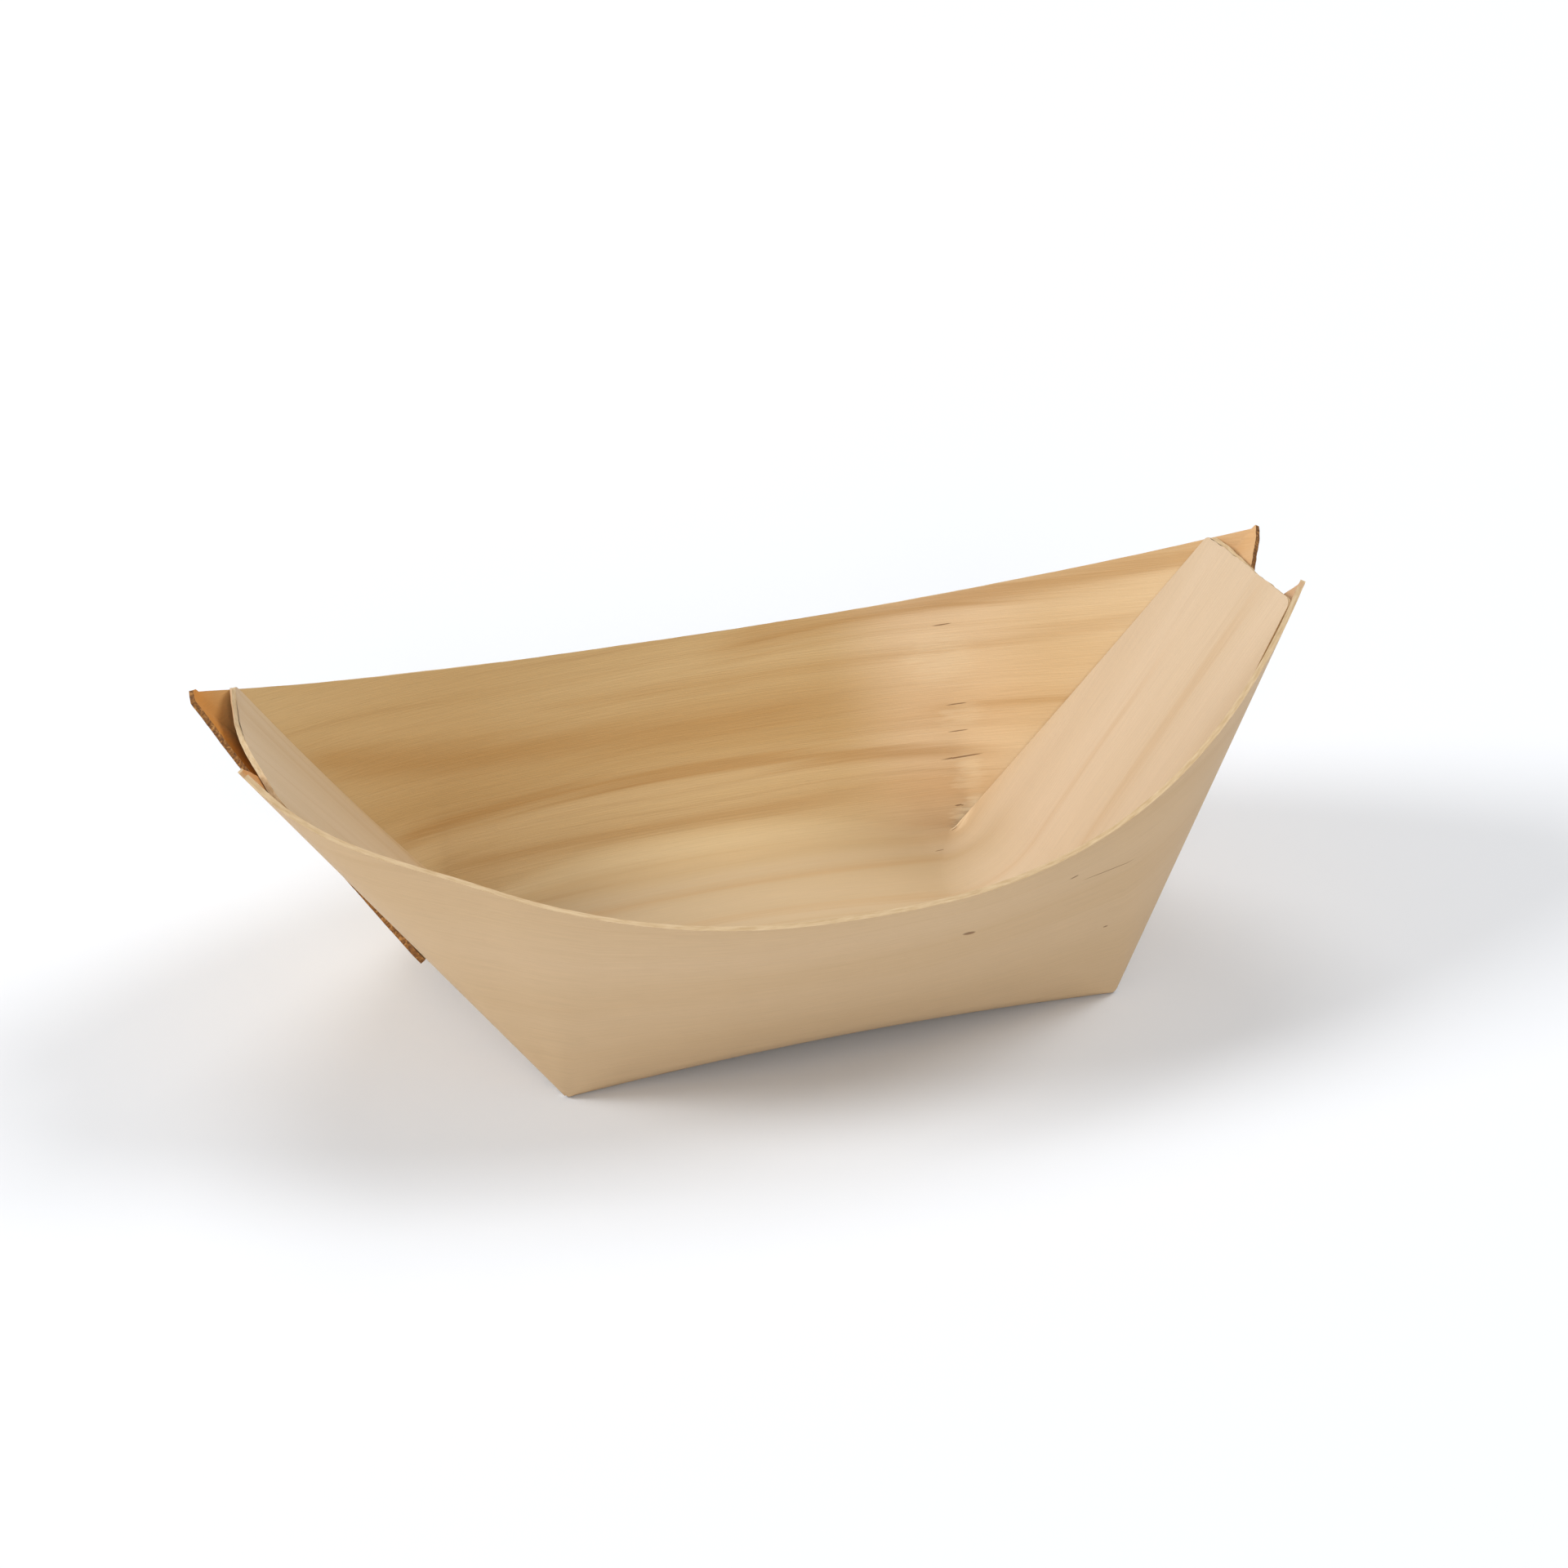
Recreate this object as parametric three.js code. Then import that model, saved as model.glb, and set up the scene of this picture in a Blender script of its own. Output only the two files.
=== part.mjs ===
import * as THREE from 'three';

// Snack boat folded from one thin sheet of pine veneer.
// Millimetres, +Z up, +X towards the bow, +Y towards the far side.
// The origin is on the table under the middle of the boat.
// The sheet is split into one solid for each panel between its creases and slits.

// Veneer and the opening left along each crease or slit between two panels
const SHEET_THICKNESS = 0.7;
const SEAM_GAP = 0.3;

// Floor: a shallow arch with bulging sides that stands on a flat foot at each end
const FLOOR_LENGTH = 72.2;
const FLOOR_SHIFT_X = 0.5;
const FLOOR_SHIFT_Y = -0.6;
const FLOOR_SKEW = 1.9;
const BOW_FLOOR_WIDTH = 47.6;
const STERN_FLOOR_WIDTH = 51;
const FLOOR_SIDE_BULGE = 2.4;
const FLOOR_ARCH_RISE = 2.2;
const FLOOR_ARCH_SOFTNESS = 1.2;
const FOOT_LENGTH = 7;
const FOOT_TAPER = 0.01;

// Side walls: rounded along the floor, flared out to a rim that dips in the middle
const CREASE_RADIUS_MIDDLE = 6;
const CREASE_RADIUS_END = 2.5;
const RIM_BEAM = 80.4;
const NEAR_RIM_DIP_HEIGHT = 26.6;
const FAR_RIM_DIP_HEIGHT = 27.1;
const RIM_POWER = 2.35;
const BEND_LEAN = 2.5;
const BEND_GAP = 0.45;

// End planes: the slope behind each end, and where the rim's tips lie on it
const BOW_END_SLOPE = THREE.MathUtils.degToRad(53.8);
const BOW_NEAR_TIP_REACH = 55.2;
const BOW_NEAR_TIP_OFFSET = 7.7;
const BOW_FAR_TIP_REACH = 57.3;
const BOW_FAR_TIP_OFFSET = 7.2;
const STERN_END_SLOPE = THREE.MathUtils.degToRad(51.2);
const STERN_NEAR_TIP_REACH = 56.0;
const STERN_NEAR_TIP_OFFSET = 9.1;
const STERN_FAR_TIP_REACH = 55.6;
const STERN_FAR_TIP_OFFSET = 12.1;

// Tongue: the middle strip of each end, bent up from the floor to lean out against the flaps
const TONGUE_INSET = 1.6;
const BOW_TONGUE_LENGTH = 54;
const BOW_TONGUE_LEAN = THREE.MathUtils.degToRad(0.3);
const BOW_TONGUE_CURL = 0.8;
const STERN_TONGUE_LENGTH = 53.5;
const STERN_TONGUE_LEAN = THREE.MathUtils.degToRad(0.6);
const STERN_TONGUE_CURL = 1.8;
const TONGUE_BEND_RADIUS_MIDDLE = 16;
const TONGUE_BEND_RADIUS_EDGE = 2.5;
const TONGUE_CORNER_RADIUS = 1.2;
const TONGUE_EDGE_CLEARANCE = 1.9;
const TONGUE_ROOT_CLEARANCE = 0.5;
const TONGUE_FLOOR_GAP = 0.45;

// Tuck flaps: the wedges that fold behind the tongue and cross over each other
const BOW_SHEET_OVERRUN = 0.5;
const STERN_SHEET_OVERRUN = 0.6;
const SHEET_CORNER_CUT = 2;
const TUCK_OUTER_OFFSET = 0.9;
const TUCK_OUTER_TILT = THREE.MathUtils.degToRad(0.5);
const TUCK_INNER_TILT = THREE.MathUtils.degToRad(0.1);
const TUCK_FOLD_CLEARANCE = 0.65;
const TUCK_INSIDE_CLEARANCE = 1.5;
const TUCK_OVERHANG = 0.3;
const CORNER_RELIEF = 2.2;

// Shift along X that puts the origin under the middle of the whole boat
const CENTRE_SHIFT = 0.7;

// Glue dabs pressed between the layers at each end
const GLUE_RADIUS = 3;
const GLUE_REACH = 22;
const GLUE_FILL = 0.4;

// Facet counts
const LENGTH_STEPS = 24;
const FLOOR_WIDTH_STEPS = 8;
const ARC_STEPS = 6;
const WALL_STEPS = 6;
const CHEEK_STEPS = 14;
const CHEEK_RADIAL_STEPS = 8;
const TONGUE_WIDTH_STEPS = 12;
const TONGUE_LENGTH_STEPS = 8;
const GLUE_STEPS = 20;
const CROSSING_STEPS = 40;

const UP = new THREE.Vector3(0, 0, 1);
const SHEET_MIDDLE = SHEET_THICKNESS / 2;

const WALL_WOOD = new THREE.MeshStandardMaterial({ color: 0xc6a470, roughness: 0.72, metalness: 0 });
const FLOOR_WOOD = new THREE.MeshStandardMaterial({ color: 0xc6a87f, roughness: 0.75, metalness: 0 });
const TONGUE_WOOD = new THREE.MeshStandardMaterial({ color: 0xe0c29c, roughness: 0.7, metalness: 0 });
const FLAP_WOOD = new THREE.MeshStandardMaterial({ color: 0xcda873, roughness: 0.74, metalness: 0 });
const GLUE = new THREE.MeshStandardMaterial({ color: 0xe6dcc0, roughness: 0.35, metalness: 0 });

function lerp(from, to, share) {
  return from.clone().lerp(to, share);
}

function steps(count, from = 0, to = 1) {
  return Array.from({ length: count + 1 }, (_, i) => from + ((to - from) * i) / count);
}

// One end of the boat: its floor corners, its end plane and its two tips
function makeEnd(values) {
  const { sign, floorWidth, slope, nearReach, nearOffset, farReach, farOffset } = values;
  const middleX = FLOOR_SHIFT_X + (sign * FLOOR_LENGTH) / 2;
  const corner = {
    near: new THREE.Vector3(middleX + FLOOR_SKEW / 2, FLOOR_SHIFT_Y - floorWidth / 2, SHEET_MIDDLE),
    far: new THREE.Vector3(middleX - FLOOR_SKEW / 2, FLOOR_SHIFT_Y + floorWidth / 2, SHEET_MIDDLE),
  };
  const middle = lerp(corner.near, corner.far, 0.5);
  const across = corner.far.clone().sub(corner.near).normalize();
  const outward = across.clone().cross(UP).multiplyScalar(sign);
  const upSlope = (angle) =>
    outward.clone().multiplyScalar(Math.cos(angle)).addScaledVector(UP, Math.sin(angle));
  const onPlane = (reach, offset) =>
    middle.clone().addScaledVector(upSlope(slope), reach).addScaledVector(across, offset);
  const tip = { near: onPlane(nearReach, -nearOffset), far: onPlane(farReach, farOffset) };
  const backNormal = upSlope(slope - Math.PI / 2);
  return { ...values, corner, middle, across, outward, upSlope, onPlane, tip, backNormal };
}

const bow = makeEnd({
  name: 'bow',
  sign: 1,
  floorWidth: BOW_FLOOR_WIDTH,
  slope: BOW_END_SLOPE,
  nearReach: BOW_NEAR_TIP_REACH,
  nearOffset: BOW_NEAR_TIP_OFFSET,
  farReach: BOW_FAR_TIP_REACH,
  farOffset: BOW_FAR_TIP_OFFSET,
  tongueLength: BOW_TONGUE_LENGTH,
  tongueLean: BOW_TONGUE_LEAN,
  tongueCurl: BOW_TONGUE_CURL,
  overrun: BOW_SHEET_OVERRUN,
  outerSide: 'near',
});
const stern = makeEnd({
  name: 'stern',
  sign: -1,
  floorWidth: STERN_FLOOR_WIDTH,
  slope: STERN_END_SLOPE,
  nearReach: STERN_NEAR_TIP_REACH,
  nearOffset: STERN_NEAR_TIP_OFFSET,
  farReach: STERN_FAR_TIP_REACH,
  farOffset: STERN_FAR_TIP_OFFSET,
  tongueLength: STERN_TONGUE_LENGTH,
  tongueLean: STERN_TONGUE_LEAN,
  tongueCurl: STERN_TONGUE_CURL,
  overrun: STERN_SHEET_OVERRUN,
  outerSide: 'far',
});

const SIDE_SIGN = { near: -1, far: 1 };
const OTHER_SIDE = { near: 'far', far: 'near' };

// Lowest and widest place of each rim, in the middle of the boat
const RIM_DIP = {
  near: new THREE.Vector3(0, (SIDE_SIGN.near * RIM_BEAM) / 2, NEAR_RIM_DIP_HEIGHT),
  far: new THREE.Vector3(0, (SIDE_SIGN.far * RIM_BEAM) / 2, FAR_RIM_DIP_HEIGHT),
};

// Rim of one side: s runs from -1 at the stern tip through 0 in the middle to 1 at the bow tip
function rimPoint(side, s) {
  const tip = s < 0 ? stern.tip[side] : bow.tip[side];
  const point = lerp(RIM_DIP[side], tip, Math.abs(s) ** RIM_POWER);
  point.x = Math.abs(s) * tip.x;
  return point;
}

// Direction of the rim as it reaches a tip
function rimDirectionAtTip(end, side) {
  const direction = end.tip[side].clone().sub(RIM_DIP[side]).multiplyScalar(RIM_POWER);
  direction.x = end.tip[side].x;
  return direction.normalize();
}

// Place on the rim where a side wall ends and bends inwards
function rimBend(end, side) {
  return (end.sign * (end.corner[side].x - end.sign * BEND_LEAN)) / Math.abs(end.tip[side].x);
}

// Share of the floor's arch and of its side bulge: 0 from the start of the foot, 1 in the middle
const FOOT_START = 1 - (2 * FOOT_LENGTH) / FLOOR_LENGTH;
function archShare(a, footStart) {
  return Math.max(0, 1 - (a / footStart) ** 2) ** FLOOR_ARCH_SOFTNESS;
}

// Sharp line where the floor would meet a side wall, from a = -1 at the stern to 1 at the bow
function creasePoint(side, a) {
  const point = lerp(stern.corner[side], bow.corner[side], (a + 1) / 2);
  point.y += SIDE_SIGN[side] * FLOOR_SIDE_BULGE * archShare(a, FOOT_START);
  point.z += FLOOR_ARCH_RISE * archShare(a, FOOT_START);
  return point;
}

// Rounding of the crease at one place along the boat
function creaseFillet(side, a) {
  const crease = creasePoint(side, a);
  const bendStern = -rimBend(stern, side);
  const bendBow = rimBend(bow, side);
  const rim = rimPoint(side, THREE.MathUtils.lerp(bendStern, bendBow, (a + 1) / 2));
  const upWall = rim.clone().sub(crease).normalize();
  const alongFloor = new THREE.Vector3(0, -SIDE_SIGN[side], 0);
  const halfAngle = alongFloor.angleTo(upWall) / 2;
  const radius = THREE.MathUtils.lerp(CREASE_RADIUS_MIDDLE, CREASE_RADIUS_END, a * a);
  const tangent = radius / Math.tan(halfAngle);
  const bisector = alongFloor.clone().add(upWall).normalize();
  const centre = crease.clone().addScaledVector(bisector, radius / Math.sin(halfAngle));
  const floorEnd = crease.clone().addScaledVector(alongFloor, tangent);
  const wallStart = crease.clone().addScaledVector(upWall, tangent);
  return { alongFloor, centre, floorEnd, wallStart, rim };
}

// Direction part of the way round the arc between two directions
function turn(from, to, share) {
  const angle = from.angleTo(to);
  const axis = from.clone().cross(to).normalize();
  return from.clone().applyAxisAngle(axis, angle * share);
}

// Closed solid of sheet thickness on both sides of a surface given at a grid of values.
// The thickness is laid off along the surface's normal, or along one direction for all points.
function sheetSolid(surface, us, vs, direction = null) {
  const grid = us.map((u) => vs.map((v) => surface(u, v)));
  const columns = us.length;
  const rows = vs.length;
  const positions = [];
  const normalAt = (i, j) => {
    const alongU = grid[Math.min(i + 1, columns - 1)][j].clone().sub(grid[Math.max(i - 1, 0)][j]);
    const alongV = grid[i][Math.min(j + 1, rows - 1)].clone().sub(grid[i][Math.max(j - 1, 0)]);
    return alongU.cross(alongV).normalize();
  };
  for (const half of [SHEET_MIDDLE, -SHEET_MIDDLE]) {
    for (let i = 0; i < columns; i += 1) {
      for (let j = 0; j < rows; j += 1) {
        const offset = direction ?? normalAt(i, j);
        positions.push(...grid[i][j].clone().addScaledVector(offset, half).toArray());
      }
    }
  }
  const front = (i, j) => i * rows + j;
  const back = (i, j) => columns * rows + front(i, j);
  const index = [];
  const quad = (a, b, c, d) => index.push(a, b, c, a, c, d);
  for (let i = 0; i + 1 < columns; i += 1) {
    for (let j = 0; j + 1 < rows; j += 1) {
      quad(front(i, j), front(i + 1, j), front(i + 1, j + 1), front(i, j + 1));
      quad(back(i, j), back(i, j + 1), back(i + 1, j + 1), back(i + 1, j));
    }
    quad(front(i + 1, 0), front(i, 0), back(i, 0), back(i + 1, 0));
    quad(front(i, rows - 1), front(i + 1, rows - 1), back(i + 1, rows - 1), back(i, rows - 1));
  }
  for (let j = 0; j + 1 < rows; j += 1) {
    quad(front(0, j), front(0, j + 1), back(0, j + 1), back(0, j));
    quad(front(columns - 1, j + 1), front(columns - 1, j), back(columns - 1, j), back(columns - 1, j + 1));
  }
  const geometry = new THREE.BufferGeometry();
  geometry.setAttribute('position', new THREE.Float32BufferAttribute(positions, 3));
  geometry.setIndex(index);
  geometry.computeVertexNormals();
  return geometry;
}

function namedMesh(name, geometry, material) {
  const mesh = new THREE.Mesh(geometry, material);
  mesh.name = name;
  return mesh;
}

// Plane, bend and straight edges of the tongue at one end, with its far edge curled in towards the top
function tongueFrame(end) {
  const slope = end.slope - end.tongueLean;
  const setBack = TONGUE_INSET / Math.sin(end.slope);
  const root = end.middle.clone().addScaledVector(end.outward, -setBack);
  const along = end.upSlope(slope);
  const normal = end.upSlope(slope + Math.PI / 2);
  const bendRadius = (b) =>
    THREE.MathUtils.lerp(TONGUE_BEND_RADIUS_MIDDLE, TONGUE_BEND_RADIUS_EDGE, b * b);
  const bendTangent = (b) => bendRadius(b) * Math.tan(slope / 2);
  const bendStart = 1 - (2 * (setBack + bendTangent(1))) / FLOOR_LENGTH;
  const curl = (b, length) => end.tongueCurl * Math.max(0, b) ** 2 * (length / end.tongueLength) ** 2;
  const plane = { root, along, normal, bendStart, curl };
  const edge = { near: tongueEdge(end, 'near', plane), far: tongueEdge(end, 'far', plane) };
  return { slope, setBack, root, along, normal, bendRadius, bendTangent, curl, edge };
}

// Straight slit edge of the tongue, from beside the wall's crease to just inside the rim
function tongueEdge(end, side, { root, along, normal, bendStart, curl }) {
  const atRoot = creaseFillet(side, end.sign * bendStart).floorEnd.sub(root).dot(end.across);
  let inner = rimBend(end, side);
  let outer = 1;
  for (let i = 0; i < CROSSING_STEPS; i += 1) {
    const s = (inner + outer) / 2;
    const offset = rimPoint(side, end.sign * s).sub(root);
    const inside = offset.dot(normal) > curl(SIDE_SIGN[side], offset.dot(along));
    inner = inside ? s : inner;
    outer = inside ? outer : s;
  }
  const crossing = rimPoint(side, end.sign * inner).sub(root);
  const reach = crossing.dot(along);
  const rootWidth = Math.abs(atRoot) - TONGUE_ROOT_CLEARANCE;
  const rimWidth = Math.abs(crossing.dot(end.across)) - TONGUE_EDGE_CLEARANCE;
  return (length) => THREE.MathUtils.lerp(rootWidth, rimWidth, length / reach);
}

const tongueFrames = { bow: tongueFrame(bow), stern: tongueFrame(stern) };

// Arched floor between the two tongues and the two rounded creases
function makeFloor() {
  const edgePoint = (side, a) => {
    const fillet = creaseFillet(side, a);
    return fillet.floorEnd.addScaledVector(fillet.alongFloor, SEAM_GAP);
  };
  const acrossPoint = (b, a) => lerp(edgePoint('far', a), edgePoint('near', a), (b + 1) / 2);
  const endShare = (end, b) => {
    const frame = tongueFrames[end.name];
    const offset = acrossPoint(b, end.sign * FOOT_START).sub(frame.root).dot(end.across);
    const tongueWidth = frame.edge[offset < 0 ? 'near' : 'far'](0);
    const tangent = frame.bendTangent(Math.min(1, Math.abs(offset) / tongueWidth));
    return 1 - (2 * (frame.setBack + tangent + TONGUE_FLOOR_GAP)) / FLOOR_LENGTH;
  };
  const footStart = (end, b) => Math.min(FOOT_START, endShare(end, b) - FOOT_TAPER);
  // Rows run from -1 to 1 between the feet and out to -2 and 2 at the floor's ends
  const surface = (b, row) => {
    const end = row < 0 ? stern : bow;
    const foot = footStart(end, b);
    const toFoot = Math.min(1, Math.abs(row)) * foot;
    const pastFoot = Math.max(0, Math.abs(row) - 1) * (endShare(end, b) - foot);
    const a = end.sign * (toFoot + pastFoot);
    const point = acrossPoint(b, a);
    point.z = SHEET_MIDDLE + FLOOR_ARCH_RISE * archShare(a, foot);
    return point;
  };
  const rows = [-2, ...steps(LENGTH_STEPS, -1, 1), 2];
  const geometry = sheetSolid(surface, steps(FLOOR_WIDTH_STEPS, -1, 1), rows, UP);
  return namedMesh('floor', geometry, FLOOR_WOOD);
}

// Side wall from the floor's edge, round the crease and up to the rim
function makeSideWall(side) {
  const inset = (2 * BEND_GAP) / FLOOR_LENGTH;
  const columns = steps(LENGTH_STEPS, -1 + inset, 1 - inset);
  const rows = [...steps(ARC_STEPS), ...steps(WALL_STEPS, 1, 2).slice(1)];
  const surface = (a, v) => {
    const fillet = creaseFillet(side, a);
    if (v > 1) return lerp(fillet.wallStart, fillet.rim, v - 1);
    const from = fillet.floorEnd.clone().sub(fillet.centre);
    const to = fillet.wallStart.clone().sub(fillet.centre);
    return turn(from, to, v).add(fillet.centre);
  };
  const order = side === 'near' ? columns.reverse() : columns;
  return namedMesh(`${side}_side_wall`, sheetSolid(surface, order, rows), WALL_WOOD);
}

// Cheek: the part of a side that closes in from the bend to the tip, a cone about the floor corner
function makeCheek(end, side) {
  const apex = end.corner[side];
  const bend = rimBend(end, side);
  const columns = steps(CHEEK_STEPS, bend, 1);
  const surface = (s, v) => {
    const toRim = rimPoint(side, end.sign * s).sub(apex);
    const start = CORNER_RELIEF / toRim.length();
    return toRim.multiplyScalar(THREE.MathUtils.lerp(start, 1, v)).add(apex);
  };
  const order = SIDE_SIGN[side] * end.sign < 0 ? columns.reverse() : columns;
  const geometry = sheetSolid(surface, order, steps(CHEEK_RADIAL_STEPS));
  return namedMesh(`${end.name}_${side}_cheek`, geometry, WALL_WOOD);
}

// Tongue: bent up from the floor, tapering between its slit edges to a top with rounded corners.
// Rows 0 to 1 go round the bend, 1 to 2 up the straight part and 2 to 3 round the top corners.
function makeTongue(end) {
  const frame = tongueFrames[end.name];
  const straightEnd = end.tongueLength - TONGUE_CORNER_RADIUS;
  const alongFloor = end.outward.clone().multiplyScalar(-1);
  const rows = [
    ...steps(ARC_STEPS),
    ...steps(TONGUE_LENGTH_STEPS, 1, 2).slice(1),
    ...steps(ARC_STEPS, 2, 3).slice(1),
  ];
  const spread = (point, b, length, cornerInset) => {
    const side = b < 0 ? 'near' : 'far';
    const width = b * (frame.edge[side](length) - cornerInset);
    return point.addScaledVector(end.across, width).addScaledVector(frame.normal, frame.curl(b, length));
  };
  const surface = (b, v) => {
    const tangent = frame.bendTangent(b);
    if (v < 1) {
      const from = frame.root.clone().addScaledVector(alongFloor, tangent);
      const centre = from.clone().addScaledVector(UP, frame.bendRadius(b));
      const to = frame.root.clone().addScaledVector(frame.along, tangent);
      const length = Math.max(0, tangent * (2 * v - 1));
      const point = turn(from.sub(centre), to.sub(centre), v).add(centre);
      return spread(point, b, length, 0);
    }
    const round = Math.max(0, v - 2) * (Math.PI / 2);
    const straight = THREE.MathUtils.lerp(tangent, straightEnd, Math.min(1, v - 1));
    const length = straight + TONGUE_CORNER_RADIUS * Math.sin(round);
    const cornerInset = TONGUE_CORNER_RADIUS * (1 - Math.cos(round));
    const point = frame.root.clone().addScaledVector(frame.along, length);
    return spread(point, b, length, cornerInset);
  };
  const columns = steps(TONGUE_WIDTH_STEPS, -1, 1);
  const order = end.sign > 0 ? columns.reverse() : columns;
  return namedMesh(`${end.name}_tongue`, sheetSolid(surface, order, rows), TONGUE_WOOD);
}

// Frame of a tuck flap: along its fold, across behind the tongue, and its outer normal
function tuckFrame(end, side) {
  const outer = side === end.outerSide;
  const origin = end.corner[side].clone().addScaledVector(end.backNormal, outer ? TUCK_OUTER_OFFSET : 0);
  const toTip = end.tip[side].clone().sub(end.corner[side]);
  const foldLength = toTip.length();
  const along = toTip.normalize();
  const inward = end.across.clone().multiplyScalar(-SIDE_SIGN[side]);
  const flat = inward.addScaledVector(along, -inward.dot(along)).normalize();
  const tilt = outer ? TUCK_OUTER_TILT : -TUCK_INNER_TILT;
  const across = flat.multiplyScalar(Math.cos(tilt)).addScaledVector(end.backNormal, Math.sin(tilt));
  return { origin, foldLength, along, across, normal: along.clone().cross(across) };
}

// Part of a polygon on the side of a line that the line's normal points to
function clipPolygon(polygon, point, normal) {
  const height = (p) => p.clone().sub(point).dot(normal);
  const kept = [];
  polygon.forEach((current, i) => {
    const next = polygon[(i + 1) % polygon.length];
    const here = height(current);
    const there = height(next);
    if (here >= 0) kept.push(current);
    if (here * there < 0) kept.push(current.clone().lerp(next, here / (here - there)));
  });
  return kept;
}

// Outline of a tuck flap as it lies in the flat sheet: past its fold the long edge runs on to the
// rounded corner of the sheet, the cut end runs square to it, and the slanted slit runs back
function tuckOutline(end, side, frame) {
  const tongue = tongueFrames[end.name];
  const slitTaper = (tongue.edge[side](0) - tongue.edge[side](end.tongueLength)) / end.tongueLength;
  const rimAngle = rimDirectionAtTip(end, side).angleTo(frame.along);
  const slitAngle = rimAngle + Math.atan(slitTaper);
  const longEdge = new THREE.Vector2(Math.cos(rimAngle), Math.sin(rimAngle));
  const cutEnd = new THREE.Vector2(-longEdge.y, longEdge.x);
  const slit = new THREE.Vector2(Math.cos(slitAngle), Math.sin(slitAngle));
  const tip = new THREE.Vector2(frame.foldLength, 0);
  const corner = tip.clone().addScaledVector(longEdge, end.overrun);
  const free = slit.clone().multiplyScalar(corner.dot(longEdge) / slit.dot(longEdge));
  const cut = Math.min(SHEET_CORNER_CUT, end.overrun);
  const rounding = new THREE.QuadraticBezierCurve(
    corner.clone().addScaledVector(longEdge, -cut),
    corner,
    corner.clone().addScaledVector(cutEnd, cut),
  );
  let outline = [new THREE.Vector2(0, 0), tip, ...rounding.getPoints(ARC_STEPS), free];
  outline = clipPolygon(outline, new THREE.Vector2(0, TUCK_FOLD_CLEARANCE), new THREE.Vector2(0, 1));
  outline = clipPolygon(outline, new THREE.Vector2(CORNER_RELIEF, 0), new THREE.Vector2(1, 0));
  // The inner flap stops short of the other cheek's fold and the outer one just passes it
  const local = (p) => {
    const offset = p.clone().sub(frame.origin);
    return new THREE.Vector2(offset.dot(frame.along), offset.dot(frame.across));
  };
  const other = OTHER_SIDE[side];
  const from = local(end.corner[other]);
  const foldDirection = local(end.tip[other]).sub(from).normalize();
  const inside = new THREE.Vector2(foldDirection.y, -foldDirection.x);
  const stop = side === end.outerSide ? -TUCK_OVERHANG : TUCK_INSIDE_CLEARANCE;
  return clipPolygon(outline, from.addScaledVector(inside, stop), inside);
}

function makeTuckFlap(end, side) {
  const frame = tuckFrame(end, side);
  const shape = new THREE.Shape(tuckOutline(end, side, frame));
  const geometry = new THREE.ExtrudeGeometry(shape, { depth: SHEET_THICKNESS, bevelEnabled: false });
  geometry.translate(0, 0, -SHEET_MIDDLE);
  const mesh = namedMesh(`${end.name}_${side}_tuck_flap`, geometry, FLAP_WOOD);
  mesh.position.copy(frame.origin);
  mesh.quaternion.setFromRotationMatrix(
    new THREE.Matrix4().makeBasis(frame.along, frame.across, frame.normal),
  );
  return mesh;
}

// Glue dab between two layers, each given by a point and a normal, part of the way up the end
function makeGlueDab(name, end, outerLayer, innerLayer) {
  const base = end.onPlane(GLUE_REACH, 0);
  const axis = end.backNormal;
  const depth = (layer) => layer.point.clone().sub(base).dot(layer.normal) / axis.dot(layer.normal);
  const outer = depth(outerLayer) - SHEET_MIDDLE;
  const inner = depth(innerLayer) + SHEET_MIDDLE;
  const half = ((outer - inner) * GLUE_FILL) / 2;
  const profile = [
    new THREE.Vector2(0, -half),
    new THREE.Vector2(GLUE_RADIUS - half, -half),
    new THREE.Vector2(GLUE_RADIUS, 0),
    new THREE.Vector2(GLUE_RADIUS - half, half),
    new THREE.Vector2(0, half),
  ];
  const mesh = namedMesh(name, new THREE.LatheGeometry(profile, GLUE_STEPS), GLUE);
  mesh.position.copy(base).addScaledVector(axis, (outer + inner) / 2);
  const facing = outerLayer.normal.clone().multiplyScalar(Math.sign(outerLayer.normal.dot(axis)));
  facing.addScaledVector(innerLayer.normal, Math.sign(innerLayer.normal.dot(axis))).normalize();
  mesh.quaternion.setFromUnitVectors(new THREE.Vector3(0, 1, 0), facing);
  return mesh;
}

// All panels and glue of one end
function makeBoatEnd(end) {
  const group = new THREE.Group();
  const tongue = tongueFrames[end.name];
  const layer = (side) => {
    const frame = tuckFrame(end, side);
    return { point: frame.origin, normal: frame.normal };
  };
  const outerFlap = layer(end.outerSide);
  const innerFlap = layer(OTHER_SIDE[end.outerSide]);
  const tongueLayer = { point: tongue.root, normal: tongue.normal };
  group.add(makeTongue(end));
  for (const side of ['near', 'far']) {
    group.add(makeCheek(end, side));
    group.add(makeTuckFlap(end, side));
  }
  group.add(makeGlueDab(`${end.name}_flap_glue`, end, outerFlap, innerFlap));
  group.add(makeGlueDab(`${end.name}_tongue_glue`, end, innerFlap, tongueLayer));
  return group;
}

const hull = new THREE.Group();
hull.add(makeFloor());
hull.add(makeSideWall('near'));
hull.add(makeSideWall('far'));
hull.add(makeBoatEnd(bow));
hull.add(makeBoatEnd(stern));
hull.position.x = CENTRE_SHIFT;

const boat = new THREE.Group();
boat.add(hull);

export default boat;
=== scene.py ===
import math

import bpy
import numpy as np
from mathutils import Matrix, Vector


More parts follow.
